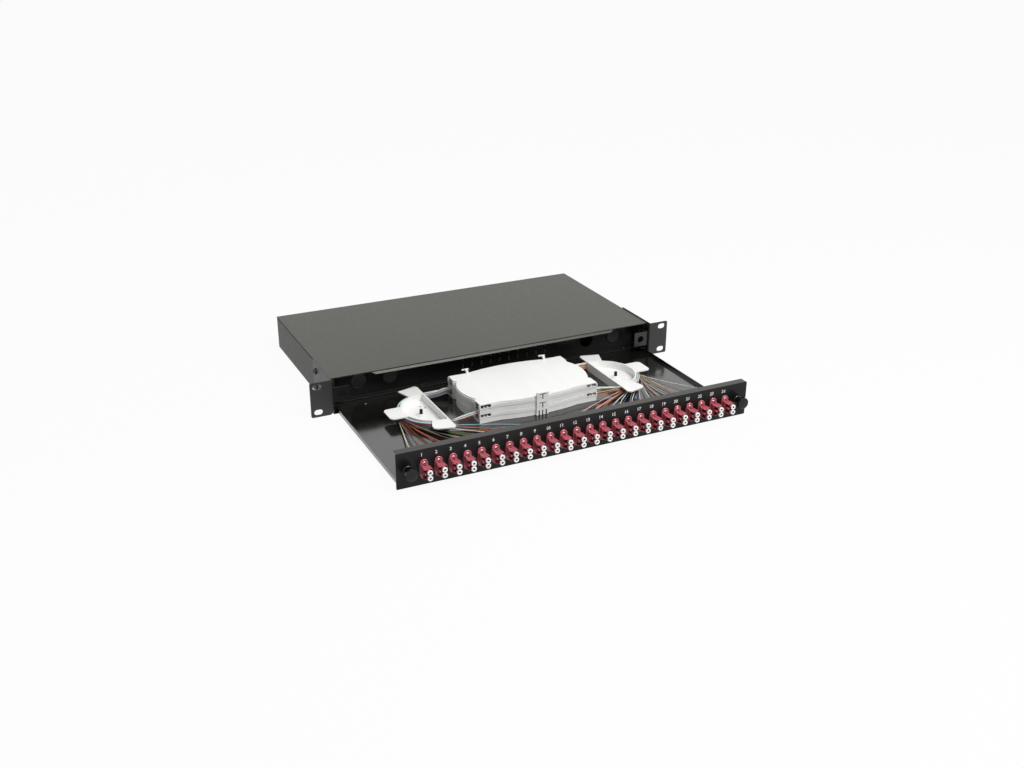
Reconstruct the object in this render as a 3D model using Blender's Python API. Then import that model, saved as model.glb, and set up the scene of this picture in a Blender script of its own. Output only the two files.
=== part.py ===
"""A sliding fibre patch panel for a 19-inch rack, one rack unit high.

A steel housing with two rack ears holds a drawer. The drawer carries 24 duplex adapters in its front panel,
two cable spools, a stack of two splice cassettes with a lid that lifts off, and the pigtails between them.

Sizes are in metres. Each shape is drawn in the rack frame: X to the right seen from the front, Y towards the
rear, Z up, with the ears' front faces on Y = 0 and the underside on Z = 0. One empty then moves the whole
assembly along Y, so that the origin is under the middle of its box. The drawer is modelled pulled out.
"""

import math

import bmesh
import bpy
from mathutils import Vector
from mathutils.geometry import interpolate_bezier

# Rack ears
EAR_SPAN = 0.4826
EAR_HEIGHT = 0.0436
EAR_WIDTH = 0.0265
EAR_THICKNESS = 0.0015
EAR_LEG_LENGTH = 0.070
EAR_LEG_RELIEF = 0.0045
EAR_CORNER_RADIUS = 0.002
EAR_SLOT_INSET = 0.00875
EAR_SLOT_SPACING = 0.03175
EAR_SLOT_LENGTH = 0.0105
EAR_SLOT_WIDTH = 0.0068
EAR_SCREW_SETBACK = 0.060
EAR_SCREW_SPACING = 0.020
EAR_SCREW_HOLE = 0.0046

# Housing and cover
SHEET = 0.0012
GAP = 0.0003
HOUSING_DEPTH = 0.2355
COVER_TOP = 0.0426
COVER_SETBACK = 0.0074
COVER_FLANGE = 0.006
HEM_SPAN = 0.328
HEM_RISER = 0.0016
HEM_REACH = 0.0022
HEM_END_CUT = 0.005
REAR_RETURN = 0.012

# Guide rails and latch brackets
RAIL_FRONT = 0.004
RAIL_LENGTH = 0.226
RAIL_WEB = 0.0017
RAIL_SOLE = 0.0015
RAIL_LIP = 0.001
RAIL_REACH = 0.007
RAIL_PLAY = 0.0004
BRACKET_WIDTH = 0.0195
BRACKET_HEIGHT = 0.0190
BRACKET_SETBACK = 0.002
BRACKET_LEG = 0.020
BRACKET_HOLE = 0.0088

# Drawer tray
PULL_OUT = 0.2081
TRAY_FLANGE = 0.0051
TRAY_REAR_SETBACK = 0.0270
TRAY_REAR_HEIGHT = 0.0352
TRAY_FRONT_FLANGE = 0.006
WALL_FOOT = 0.009
ENTRY_DIAMETER = 0.019
ENTRY_HEIGHT = 0.0217
ENTRY_INSET = 0.0367
ENTRY_PITCH = 0.0388
TIE_SLOT_COUNT = 10
TIE_SLOT_PITCH = 0.0127
TIE_SLOT_WIDTH = 0.0025
TIE_SLOT_HEIGHT = 0.006
TIE_SLOT_ROW_GAP = 0.010
TIE_SLOT_OFFSET = 0.018
PLUG_RIM = 0.0023
PLUG_RIM_THICKNESS = 0.0015
PLUG_PLAY = 0.0004

# Front panel
PANEL_REVEAL = 0.0008
PANEL_BOTTOM = 0.0028
PANEL_HEIGHT = 0.0406
PANEL_LIP = 0.0098
PANEL_CORNER_RADIUS = 0.001

# Adapters
ADAPTER_COUNT = 24
ADAPTER_HEIGHT = 0.0183
ADAPTER_BODY_WIDTH = 0.009
ADAPTER_BODY_HEIGHT = 0.0126
ADAPTER_FRONT = 0.0145
ADAPTER_REAR = 0.016
ADAPTER_FLANGE_WIDTH = 0.0088
ADAPTER_FLANGE_HEIGHT = 0.022
ADAPTER_FLANGE_THICKNESS = 0.0018
ADAPTER_PLAY = 0.0003
NECK_WIDTH = 0.0076
NECK_LENGTH = 0.005
HOOD_WIDTH = 0.0088
HOOD_HEIGHT = 0.0108
HOOD_TAPER = 0.0015
LATCH_SLOT_HEIGHT = 0.0036
LATCH_SLOT_LENGTH = 0.005
LATCH_SLOT_DEPTH = 0.0013
PORT_PITCH = 0.00625
CAP_DIAMETER = 0.0058
CAP_REACH = 0.004
CONNECTOR_WIDTH = 0.0046
CONNECTOR_LENGTH = 0.011
BOOT_DIAMETER = 0.0038
BOOT_TIP = 0.0024
BOOT_LENGTH = 0.018

# Locking plungers
KNOB_INSET = 0.0125
KNOB_DIAMETER = 0.0138
KNOB_THICKNESS = 0.0058
KNOB_STROKE = 0.005
KNOB_ROUNDING = 0.0009
KNOB_TO_ADAPTER = 0.0177
SHANK_DIAMETER = 0.004
SHANK_TAIL = 0.002
SHANK_PLAY = 0.0004
GROMMET_DIAMETER = 0.0068
GROMMET_COLLAR = 0.012
GROMMET_COLLAR_THICKNESS = 0.0025
GROMMET_LENGTH = 0.012
GROMMET_PLAY = 0.0003

# Splice cassettes and lid
CASSETTE_SETBACK = 0.1481
CASSETTE_LENGTH = 0.153
CASSETTE_DEPTH = 0.093
CASSETTE_HEIGHT = 0.0107
CASSETTE_END_BULGE = 0.005
CASSETTE_SIDE_BULGE = 0.0057
CASSETTE_WALL = 0.0016
CASSETTE_FLOOR = 0.0014
CORNER_BLOCK_LENGTH = 0.0265
CORNER_BLOCK_DEPTH = 0.017
CORNER_NOTCH = 0.003
PORT_WIDTH = 0.009
PORT_SETBACK = 0.0085
PORT_SILL = 0.0027
SLOT_WIDTH = 0.0128
SLOT_SETBACK = 0.0078
SLOT_DEPTH = 0.0034
SLOT_TOOTH = 0.0011
SLOT_TOOTH_HEIGHT = 0.0018
SLOT_TOOTH_PITCH = 0.0042
HUB_OFFSET = 0.043
HUB_DIAMETER = 0.030
HUB_HEIGHT = 0.0066
RIM_BOTTOM = 0.0064
RIM_STEP = 0.0005
CLIP_WIDTH = 0.0155
CLIP_DEPTH = 0.0018
CLIP_SLOT_DEPTH = 0.0012
CLIP_SLOT_WIDTH = 0.0013
CLIP_SLOT_TOP = 0.0046
CLIP_SLOT_OVERRUN = 0.0019
CLIP_BAR_WIDTH = 0.0088
CLIP_BAR_HEIGHT = 0.0012
PRONG_SLOT_WIDTH = 0.0016
PRONG_SLOT_HEIGHT = 0.0062
PRONG_SLOT_PITCH = 0.0045
TONGUE_OFFSET = 0.0517
TONGUE_REACH = 0.0042
TONGUE_LEVEL = 0.004
TONGUE_WIDTH = 0.0028
TONGUE_THICKNESS = 0.0016
TONGUE_BAR_LENGTH = 0.009
TONGUE_BAR_DIAMETER = 0.0018
LID_THICKNESS = 0.0014
LID_INSET = 0.0009
LID_CLIP_HEIGHT = 0.006
LID_POST = 0.0024
HOLDER_LENGTH = 0.034
HOLDER_WIDTH = 0.042
HOLDER_BASE = 0.001
SLEEVE_COUNT = 12
SLEEVE_PITCH = 0.0033
TOOTH_WIDTH = 0.0009
TOOTH_LENGTH = 0.006
TOOTH_HEIGHT = 0.004
TOOTH_OFFSET = 0.011

# Cable spools
SPOOL_CLEARANCE = 0.0292
SPOOL_HEIGHT = 0.011
SPOOL_RADIUS = 0.040
SPOOL_WALL = 0.0016
SPOOL_FLOOR = 0.002
SPOOL_CENTRE_SHIFT = 0.0015
WING_THICKNESS = 0.0014
WING_REACH = 0.0185
WING_HALF_WIDTH = 0.0138
WING_ROUNDING = 0.005
STUD_OFFSET = 0.0185
STUD_DIAMETER = 0.004
STUD_HEIGHT = 0.0112
STUD_COLLAR_DIAMETER = 0.0066
STUD_COLLAR_THICKNESS = 0.001
STUD_PLAY = 0.0003
BOSS_DIAMETER = 0.010
BOSS_HEIGHT = 0.001
SPOOL_EYE_DIAMETER = 0.003

# Pigtails
LOOP_DIAMETER = 0.0046
FAN_DIAMETER = 0.0034

# Derived places in the rack frame
HOUSING_HALF = EAR_SPAN / 2 - EAR_WIDTH - GAP
WALL_INNER = HOUSING_HALF - SHEET
COVER_UNDERSIDE = COVER_TOP - SHEET
RAIL_OUTER = WALL_INNER - GAP
TRAY_HALF = RAIL_OUTER - RAIL_WEB - RAIL_PLAY
RAIL_SOLE_TOP = SHEET + GAP + RAIL_SOLE
TRAY_BOTTOM = RAIL_SOLE_TOP + GAP
TRAY_TOP = TRAY_BOTTOM + SHEET
TRAY_FLANGE_TOP = TRAY_BOTTOM + TRAY_FLANGE
RAIL_LIP_BOTTOM = TRAY_FLANGE_TOP + RAIL_PLAY
RAIL_LIP_TOP = RAIL_LIP_BOTTOM + RAIL_LIP
RAIL_INNER = RAIL_OUTER - RAIL_WEB - RAIL_REACH
PANEL_HALF = HOUSING_HALF + PANEL_REVEAL
PANEL_FACE = -PULL_OUT
PANEL_BACK = PANEL_FACE + SHEET
PANEL_TOP = PANEL_BOTTOM + PANEL_HEIGHT
PANEL_MIDDLE = PANEL_BOTTOM + PANEL_HEIGHT / 2
TRAY_FRONT = PANEL_BACK + GAP
KNOB_X = PANEL_HALF - KNOB_INSET
FIRST_ADAPTER_X = -(KNOB_X - KNOB_TO_ADAPTER)
ADAPTER_PITCH = -2 * FIRST_ADAPTER_X / (ADAPTER_COUNT - 1)
ADAPTER_Z = PANEL_BOTTOM + ADAPTER_HEIGHT
CASSETTE_Y = PANEL_FACE + CASSETTE_SETBACK
CASSETTE_LOWER_Z = TRAY_TOP + GAP
CASSETTE_UPPER_Z = CASSETTE_LOWER_Z + CASSETTE_HEIGHT + GAP
LID_Z = CASSETTE_UPPER_Z + CASSETTE_HEIGHT + GAP
CLIP_FRONT = -(CASSETTE_DEPTH / 2 + CASSETTE_SIDE_BULGE + CLIP_DEPTH)
SPOOL_X = CASSETTE_LENGTH / 2 + CASSETTE_END_BULGE + SPOOL_CLEARANCE
SPOOL_Z = TRAY_TOP + GAP
DRAWER_FRONT = PANEL_FACE - ADAPTER_FRONT - CAP_REACH
EAR_PLANE_Y = -(DRAWER_FRONT + HOUSING_DEPTH) / 2

ROUND_STEPS = 16
ARC_STEPS = 10
SMOOTH_ANGLE = math.radians(35)


def clear_scene():
    for existing in list(bpy.data.objects):
        bpy.data.objects.remove(existing, do_unlink=True)


def make_material(name, colour, roughness, metallic=0.0):
    material = bpy.data.materials.new(name)
    material.use_nodes = True
    shader = material.node_tree.nodes["Principled BSDF"]
    shader.inputs["Base Color"].default_value = (*colour, 1.0)
    shader.inputs["Roughness"].default_value = roughness
    shader.inputs["Metallic"].default_value = metallic
    return material


def add_object(name, mesh, parent, material, location=(0.0, 0.0, 0.0)):
    """A named object at its place in its parent's frame."""
    mesh.materials.clear()
    mesh.materials.append(material)
    mesh.shade_smooth()
    mesh.set_sharp_from_angle(angle=SMOOTH_ANGLE)
    piece = bpy.data.objects.new(name, mesh)
    bpy.context.scene.collection.objects.link(piece)
    piece.parent = parent
    piece.location = location
    return piece


def add_empty(name, parent=None, location=(0.0, 0.0, 0.0)):
    empty = bpy.data.objects.new(name, None)
    bpy.context.scene.collection.objects.link(empty)
    empty.parent = parent
    empty.location = location
    return empty


def finish_mesh(shape):
    """Turns a bmesh into a mesh with its faces pointing out."""
    bmesh.ops.recalc_face_normals(shape, faces=shape.faces)
    mesh = bpy.data.meshes.new("shape")
    shape.to_mesh(mesh)
    shape.free()
    return mesh


def prism(outline, low, high, axis="Z"):
    """A closed prism. The outline's two coordinates are X, Y for axis Z, X, Z for axis Y, Y, Z for axis X."""
    place = {
        "Z": lambda u, v, w: (u, v, w),
        "Y": lambda u, v, w: (u, w, v),
        "X": lambda u, v, w: (w, u, v),
    }[axis]
    shape = bmesh.new()
    base = shape.faces.new([shape.verts.new(place(u, v, low)) for u, v in outline])
    grown = bmesh.ops.extrude_face_region(shape, geom=[base])["geom"]
    top = [item for item in grown if isinstance(item, bmesh.types.BMVert)]
    bmesh.ops.translate(shape, vec=Vector(place(0.0, 0.0, high - low)), verts=top)
    return finish_mesh(shape)


def tapered_beam(section):
    """A closed beam along X. The section's points are (Y, Z, half length), so the ends can slope."""
    shape = bmesh.new()
    ends = [[shape.verts.new((side * half, y, z)) for y, z, half in section] for side in (-1, 1)]
    for end in ends:
        shape.faces.new(end)
    for step in range(len(section)):
        after = (step + 1) % len(section)
        shape.faces.new([ends[0][step], ends[0][after], ends[1][after], ends[1][step]])
    return finish_mesh(shape)


def box(x_range, y_range, z_range):
    left, right = x_range
    front, rear = y_range
    return prism([(left, front), (right, front), (right, rear), (left, rear)], *z_range)


def turned(profile, centre, axis="Y", steps=ROUND_STEPS):
    """A turned solid about a line along axis through centre. The profile's points are (radius, distance along
    the axis). It runs from one pole to the other, or, for a tube, all the way round the section."""
    shape = bmesh.new()
    rings = []
    for radius, along in profile:
        turns = [0.0] if radius == 0 else [2 * math.pi * step / steps for step in range(steps)]
        ring = []
        for turn in turns:
            side = (radius * math.cos(turn), radius * math.sin(turn))
            offset = (side[0], along, side[1]) if axis == "Y" else (side[0], side[1], along)
            ring.append(shape.verts.new(Vector(centre) + Vector(offset)))
        rings.append(ring)
    pairs = list(zip(rings, rings[1:]))
    if len(rings[0]) > 1:
        pairs.append((rings[-1], rings[0]))
    for first, second in pairs:
        for step in range(steps):
            corners = [first[step % len(first)], first[(step + 1) % len(first)],
                       second[(step + 1) % len(second)], second[step % len(second)]]
            shape.faces.new(list(dict.fromkeys(corners)))
    return finish_mesh(shape)


def cylinder(radius, low, high, centre, axis="Y", steps=ROUND_STEPS):
    return turned([(0.0, low), (radius, low), (radius, high), (0.0, high)], centre, axis, steps)


def arc(centre, radius, start, end, steps=ARC_STEPS):
    """Points on an arc, with its angles in degrees."""
    points = []
    for step in range(steps + 1):
        turn = math.radians(start + (end - start) * step / steps)
        points.append((centre[0] + radius * math.cos(turn), centre[1] + radius * math.sin(turn)))
    return points


def bulge(start, end, rise, steps=ARC_STEPS):
    """Points on the arc from start to end that stands rise away from its chord, to the right of it."""
    first, last = Vector(start), Vector(end)
    half = (last - first) / 2
    radius = (half.length ** 2 + rise ** 2) / (2 * rise)
    outward = Vector((half.y, -half.x)).normalized()
    centre = first + half - outward * (radius - rise)
    spread = math.asin(half.length / radius)
    points = []
    for step in range(steps + 1):
        turn = spread * (2 * step / steps - 1)
        point = centre + radius * (outward * math.cos(turn) + half.normalized() * math.sin(turn))
        points.append((point.x, point.y))
    return points


def rounded_rectangle(left, right, low, high, radius, steps=3):
    corners = [(right - radius, high - radius, 0), (left + radius, high - radius, 90),
               (left + radius, low + radius, 180), (right - radius, low + radius, 270)]
    outline = []
    for u, v, start in corners:
        outline += arc((u, v), radius, start, start + 90, steps)
    return outline


def stadium(centre, length, width, steps=6):
    """A slot with round ends that runs along the first coordinate."""
    run = (length - width) / 2
    u, v = centre
    return (arc((u + run, v), width / 2, -90, 90, steps) + arc((u - run, v), width / 2, 90, 270, steps))


def mirrored(outline, side):
    return [(side * u, v) for u, v in outline]


def joined(meshes):
    """One mesh that holds several separate closed shapes, for use as one cutter."""
    shape = bmesh.new()
    for mesh in meshes:
        shape.from_mesh(mesh)
        bpy.data.meshes.remove(mesh)
    return finish_mesh(shape)


def combine(base, other, operation):
    """The exact union or difference of two closed meshes."""
    body = bpy.data.objects.new("body", base)
    tool = bpy.data.objects.new("tool", other)
    for item in (body, tool):
        bpy.context.scene.collection.objects.link(item)
    modifier = body.modifiers.new("combine", "BOOLEAN")
    modifier.operation = operation
    modifier.solver = "EXACT"
    modifier.object = tool
    evaluated = body.evaluated_get(bpy.context.evaluated_depsgraph_get())
    result = bpy.data.meshes.new_from_object(evaluated)
    for item in (body, tool):
        mesh = item.data
        bpy.data.objects.remove(item)
        bpy.data.meshes.remove(mesh)
    return result


def fused(*meshes):
    result = meshes[0]
    for other in meshes[1:]:
        result = combine(result, other, "UNION")
    return result


def cut(base, *cutters):
    return combine(base, joined(cutters), "DIFFERENCE")


def ear_mesh(side):
    """An L bracket: a slotted front plate, and a leg along the outside of the housing."""
    inner = EAR_SPAN / 2 - EAR_WIDTH
    outer = EAR_SPAN / 2
    radius = EAR_CORNER_RADIUS
    plate = (arc((outer - radius, EAR_HEIGHT - radius), radius, 90, 0, 3)
             + arc((outer - radius, radius), radius, 0, -90, 3)
             + arc((inner + EAR_LEG_RELIEF, EAR_LEG_RELIEF), EAR_LEG_RELIEF, -90, -180, 4)
             + [(inner, EAR_HEIGHT)])
    leg_x = sorted((side * inner, side * (inner + EAR_THICKNESS)))
    leg = box(leg_x, (EAR_THICKNESS / 2, EAR_LEG_LENGTH), (EAR_LEG_RELIEF, EAR_HEIGHT))
    bracket = fused(prism(mirrored(plate, side), 0.0, EAR_THICKNESS, "Y"), leg)
    cutters = []
    for level in (-1, 1):
        slot_z = EAR_HEIGHT / 2 + level * EAR_SLOT_SPACING / 2
        slot = stadium((side * (outer - EAR_SLOT_INSET), slot_z), EAR_SLOT_LENGTH, EAR_SLOT_WIDTH)
        cutters.append(prism(slot, -EAR_THICKNESS, 2 * EAR_THICKNESS, "Y"))
        cutters.append(ear_screw_hole(side, level))
    return cut(bracket, *cutters)


def ear_screw_hole(side, level):
    """A cutter through the ear's leg and the housing's wall, for one screw."""
    hole_z = EAR_HEIGHT / 2 + level * EAR_SCREW_SPACING / 2
    outline = arc((EAR_SCREW_SETBACK, hole_z), EAR_SCREW_HOLE / 2, 0, 330, 11)
    ends = sorted((side * (WALL_INNER - SHEET), side * (HOUSING_HALF + GAP + 2 * EAR_THICKNESS)))
    return prism(outline, *ends, "X")


def housing_mesh():
    """The tub: floor and side walls from one bent sheet, with short returns at the rear."""
    wall_top = COVER_UNDERSIDE - GAP
    section = [(-HOUSING_HALF, 0.0), (HOUSING_HALF, 0.0), (HOUSING_HALF, wall_top), (WALL_INNER, wall_top),
               (WALL_INNER, SHEET), (-WALL_INNER, SHEET), (-WALL_INNER, wall_top), (-HOUSING_HALF, wall_top)]
    tub = prism(section, 0.0, HOUSING_DEPTH, "Y")
    holes = []
    for side in (-1, 1):
        reach = sorted((side * (HOUSING_HALF - REAR_RETURN), side * (HOUSING_HALF - SHEET / 2)))
        tub = fused(tub, box(reach, (HOUSING_DEPTH - SHEET, HOUSING_DEPTH), (SHEET / 2, wall_top)))
        holes += [ear_screw_hole(side, level) for level in (-1, 1)]
    return cut(tub, *holes)


def hem_mesh():
    """The cover's front hem: a short drop, then a strip that slants down and forwards, its ends cut back."""
    half = HEM_SPAN / 2
    front = COVER_SETBACK
    rear = COVER_SETBACK + SHEET
    fold = COVER_TOP - HEM_RISER
    thickness = SHEET / math.sqrt(2)
    tip_y = front - HEM_REACH
    tip_z = fold - HEM_REACH
    section = [(rear, COVER_TOP - SHEET / 2, half), (front, COVER_TOP - SHEET / 2, half), (front, fold, half),
               (tip_y, tip_z, half - HEM_END_CUT), (tip_y + thickness, tip_z - thickness, half - HEM_END_CUT),
               (rear, tip_z - 2 * thickness + rear - tip_y, half)]
    return tapered_beam(section)


def cover_mesh():
    """The cover: a top plate, flanges inside the side walls and at the rear, and the slanted front hem."""
    top = box((-HOUSING_HALF, HOUSING_HALF), (COVER_SETBACK, HOUSING_DEPTH), (COVER_UNDERSIDE, COVER_TOP))
    flange_bottom = COVER_UNDERSIDE - COVER_FLANGE
    overlap = COVER_UNDERSIDE + SHEET / 2
    rear_half = HOUSING_HALF - REAR_RETURN - GAP
    rear = box((-rear_half, rear_half), (HOUSING_DEPTH - SHEET, HOUSING_DEPTH), (flange_bottom, overlap))
    cover = fused(top, rear, hem_mesh())
    for side in (-1, 1):
        reach = sorted((side * (WALL_INNER - GAP), side * (WALL_INNER - GAP - SHEET)))
        ends = (COVER_SETBACK + 2 * SHEET, HOUSING_DEPTH - 2 * SHEET)
        cover = fused(cover, box(reach, ends, (flange_bottom, overlap)))
    return cover


def rail_mesh(side):
    """A channel that holds the tray's edge: a sole below it, a web beside it and a lip above it."""
    web = RAIL_OUTER - RAIL_WEB
    sole = SHEET + GAP
    section = [(RAIL_OUTER, sole), (RAIL_OUTER, RAIL_LIP_TOP), (RAIL_INNER, RAIL_LIP_TOP),
               (RAIL_INNER, RAIL_LIP_BOTTOM), (web, RAIL_LIP_BOTTOM), (web, RAIL_SOLE_TOP),
               (RAIL_INNER, RAIL_SOLE_TOP), (RAIL_INNER, sole)]
    return prism(mirrored(section, side), RAIL_FRONT, RAIL_FRONT + RAIL_LENGTH, "Y")


def bracket_mesh(side):
    """The latch bracket: a plate across the opening with the plunger's hole, and a leg on the side wall."""
    wall = WALL_INNER - GAP
    heights = (PANEL_MIDDLE - BRACKET_HEIGHT / 2, PANEL_MIDDLE + BRACKET_HEIGHT / 2)
    plate_x = sorted((side * (wall - BRACKET_WIDTH), side * wall))
    leg_x = sorted((side * (wall - SHEET), side * wall))
    section = [(plate_x[0], BRACKET_SETBACK), (plate_x[1], BRACKET_SETBACK),
               (plate_x[1], BRACKET_SETBACK + SHEET), (plate_x[0], BRACKET_SETBACK + SHEET)]
    plate = prism(section, *heights)
    leg = box(leg_x, (BRACKET_SETBACK + SHEET / 2, BRACKET_SETBACK + BRACKET_LEG), heights)
    hole = cylinder(BRACKET_HOLE / 2, BRACKET_SETBACK - SHEET, BRACKET_SETBACK + 2 * SHEET,
                    (side * KNOB_X, 0.0, PANEL_MIDDLE))
    return cut(fused(plate, leg), hole)


def entry_centre(side, column):
    """The middle of a cable entry: column 0 is the outer one of a side, column 1 the inner one."""
    return (side * (TRAY_HALF - ENTRY_INSET - column * ENTRY_PITCH), 0.0, TRAY_BOTTOM + ENTRY_HEIGHT)


def tray_mesh():
    """The drawer's tray: a floor with side flanges and a front flange."""
    inner = TRAY_HALF - SHEET
    section = [(-TRAY_HALF, TRAY_BOTTOM), (TRAY_HALF, TRAY_BOTTOM), (TRAY_HALF, TRAY_FLANGE_TOP),
               (inner, TRAY_FLANGE_TOP), (inner, TRAY_TOP), (-inner, TRAY_TOP),
               (-inner, TRAY_FLANGE_TOP), (-TRAY_HALF, TRAY_FLANGE_TOP)]
    floor = prism(section, TRAY_FRONT, TRAY_REAR_SETBACK, "Y")
    flange_half = inner + SHEET / 2
    front_flange = box((-flange_half, flange_half), (TRAY_FRONT, TRAY_FRONT + SHEET),
                       (TRAY_BOTTOM + SHEET / 2, TRAY_BOTTOM + TRAY_FRONT_FLANGE))
    return fused(floor, front_flange)


def rear_wall_mesh():
    """The wall at the tray's rear: an angle that stands on the tray, with cable entries and tie slots."""
    rear = TRAY_REAR_SETBACK
    half = RAIL_INNER - 2 * GAP
    foot = TRAY_TOP + GAP
    section = [(rear - WALL_FOOT, foot), (rear, foot), (rear, TRAY_BOTTOM + TRAY_REAR_HEIGHT),
               (rear - SHEET, TRAY_BOTTOM + TRAY_REAR_HEIGHT), (rear - SHEET, foot + SHEET),
               (rear - WALL_FOOT, foot + SHEET)]
    wall = prism(section, -half, half, "X")
    cutters = []
    for side in (-1, 1):
        for column in (0, 1):
            cutters.append(cylinder(ENTRY_DIAMETER / 2, rear - 2 * SHEET, rear + SHEET,
                                    entry_centre(side, column), steps=20))
    for row in (-1, 1):
        middle = TRAY_BOTTOM + ENTRY_HEIGHT + row * TIE_SLOT_ROW_GAP / 2
        for column in range(TIE_SLOT_COUNT):
            slot_x = TIE_SLOT_OFFSET + (column - (TIE_SLOT_COUNT - 1) / 2) * TIE_SLOT_PITCH
            cutters.append(box((slot_x - TIE_SLOT_WIDTH / 2, slot_x + TIE_SLOT_WIDTH / 2),
                               (rear - 2 * SHEET, rear + SHEET),
                               (middle - TIE_SLOT_HEIGHT / 2, middle + TIE_SLOT_HEIGHT / 2)))
    return cut(wall, *cutters)


def plug_mesh():
    """A blanking plug: a barrel in the cable entry with a rim behind the wall."""
    barrel = ENTRY_DIAMETER / 2 - PLUG_PLAY
    rim = ENTRY_DIAMETER / 2 + PLUG_RIM
    seat = TRAY_REAR_SETBACK + GAP
    front = TRAY_REAR_SETBACK - SHEET - PLUG_RIM_THICKNESS
    profile = [(0.0, front), (barrel, front), (barrel, seat), (rim, seat), (rim, seat + PLUG_RIM_THICKNESS),
               (0.0, seat + PLUG_RIM_THICKNESS)]
    return turned(profile, (0.0, 0.0, 0.0), steps=20)


def adapter_x(number):
    return FIRST_ADAPTER_X + number * ADAPTER_PITCH


def panel_mesh():
    """The front panel: a plate with a folded top lip, the adapters' cut-outs and the grommets' holes."""
    outline = rounded_rectangle(-PANEL_HALF, PANEL_HALF, PANEL_BOTTOM, PANEL_TOP, PANEL_CORNER_RADIUS)
    plate = prism(outline, PANEL_FACE, PANEL_BACK, "Y")
    lip_half = PANEL_HALF - PANEL_CORNER_RADIUS
    lip = box((-lip_half, lip_half), (PANEL_FACE + SHEET / 2, PANEL_FACE + PANEL_LIP),
              (PANEL_TOP - SHEET, PANEL_TOP))
    width = ADAPTER_BODY_WIDTH / 2 + ADAPTER_PLAY
    height = ADAPTER_BODY_HEIGHT / 2 + ADAPTER_PLAY
    through = (PANEL_FACE - SHEET, PANEL_BACK + SHEET)
    heights = (ADAPTER_Z - height, ADAPTER_Z + height)
    cutters = []
    for number in range(ADAPTER_COUNT):
        middle = adapter_x(number)
        cutters.append(box((middle - width, middle + width), through, heights))
    for side in (-1, 1):
        bore = GROMMET_DIAMETER / 2 + GROMMET_PLAY
        cutters.append(cylinder(bore, *through, (side * KNOB_X, 0.0, PANEL_MIDDLE)))
    return cut(fused(plate, lip), *cutters)


def hood_mesh():
    """The adapter's front housing: a neck at the flange that widens into a hood, with a latch slot for each
    port in its left side."""
    neck = NECK_WIDTH / 2
    half = HOOD_WIDTH / 2
    root = -GAP - ADAPTER_FLANGE_THICKNESS / 2
    left = [(-neck, root), (-neck, -NECK_LENGTH), (-half, -NECK_LENGTH - HOOD_TAPER), (-half, -ADAPTER_FRONT)]
    outline = left + mirrored(left, -1)[::-1]
    hood = prism(outline, -HOOD_HEIGHT / 2, HOOD_HEIGHT / 2)
    slots = []
    for level in (-1, 1):
        heights = [level * PORT_PITCH / 2 + hand * LATCH_SLOT_HEIGHT / 2 for hand in (-1, 1)]
        slots.append(box((-HOOD_WIDTH, LATCH_SLOT_DEPTH - half),
                         (-ADAPTER_FRONT - SHEET, LATCH_SLOT_LENGTH - ADAPTER_FRONT), heights))
    return cut(hood, *slots)


def adapter_mesh():
    """A duplex adapter, drawn with the panel's face on Y = 0 and its ports' middle on Z = 0: the body through
    the panel, the flange with round ends and the hood in front of it, a dust cap in each front port and a
    pigtail's connector with its boot in each rear port."""
    half_width = ADAPTER_BODY_WIDTH / 2
    half_height = ADAPTER_BODY_HEIGHT / 2
    seat = -GAP - ADAPTER_FLANGE_THICKNESS / 2
    body = box((-half_width, half_width), (seat, ADAPTER_REAR), (-half_height, half_height))
    outline = [(v, u) for u, v in stadium((0.0, 0.0), ADAPTER_FLANGE_HEIGHT, ADAPTER_FLANGE_WIDTH, 4)]
    flange = prism(outline, -GAP - ADAPTER_FLANGE_THICKNESS, -GAP, "Y")
    adapter = fused(body, flange, hood_mesh())
    overlap = SHEET / 2
    half = CONNECTOR_WIDTH / 2
    boot_start = ADAPTER_REAR + CONNECTOR_LENGTH
    cap_front = -ADAPTER_FRONT - CAP_REACH
    for level in (-1, 1):
        middle = level * PORT_PITCH / 2
        cap = cylinder(CAP_DIAMETER / 2, cap_front, -ADAPTER_FRONT + overlap, (0.0, 0.0, middle), steps=10)
        connector = box((-half, half), (ADAPTER_REAR - overlap, boot_start), (middle - half, middle + half))
        boot_profile = [(0.0, boot_start - overlap), (BOOT_DIAMETER / 2, boot_start - overlap),
                        (BOOT_TIP / 2, boot_start + BOOT_LENGTH), (0.0, boot_start + BOOT_LENGTH)]
        boot = turned(boot_profile, (0.0, 0.0, middle), steps=6)
        adapter = fused(adapter, cap, fused(connector, boot))
    return adapter


def grommet_mesh():
    """The plunger's grommet, drawn about its own axis: a collar in front of the panel and a barrel."""
    bore = SHANK_DIAMETER / 2 + SHANK_PLAY
    barrel = GROMMET_DIAMETER / 2
    collar = GROMMET_COLLAR / 2
    seat = PANEL_FACE - GAP
    front = seat - GROMMET_COLLAR_THICKNESS
    rear = PANEL_FACE + GROMMET_LENGTH
    profile = [(bore, front), (collar - KNOB_ROUNDING, front), (collar, front + KNOB_ROUNDING),
               (collar, seat), (barrel, seat), (barrel, rear), (bore, rear)]
    return turned(profile, (0.0, 0.0, 0.0))


def plunger_mesh():
    """The knob and its shank, drawn about the joint's axis, at its pulled position."""
    knob_back = PANEL_FACE - 2 * GAP - GROMMET_COLLAR_THICKNESS - KNOB_STROKE
    knob_front = knob_back - KNOB_THICKNESS
    tail = PANEL_FACE + GROMMET_LENGTH + SHANK_TAIL
    knob = KNOB_DIAMETER / 2
    shank = SHANK_DIAMETER / 2
    profile = [(0.0, knob_front), (knob - 2 * KNOB_ROUNDING, knob_front), (knob, knob_front + KNOB_ROUNDING),
               (knob, knob_back - KNOB_ROUNDING), (knob - KNOB_ROUNDING, knob_back), (shank, knob_back),
               (shank, tail), (0.0, tail)]
    return turned(profile, (0.0, 0.0, 0.0))


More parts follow.
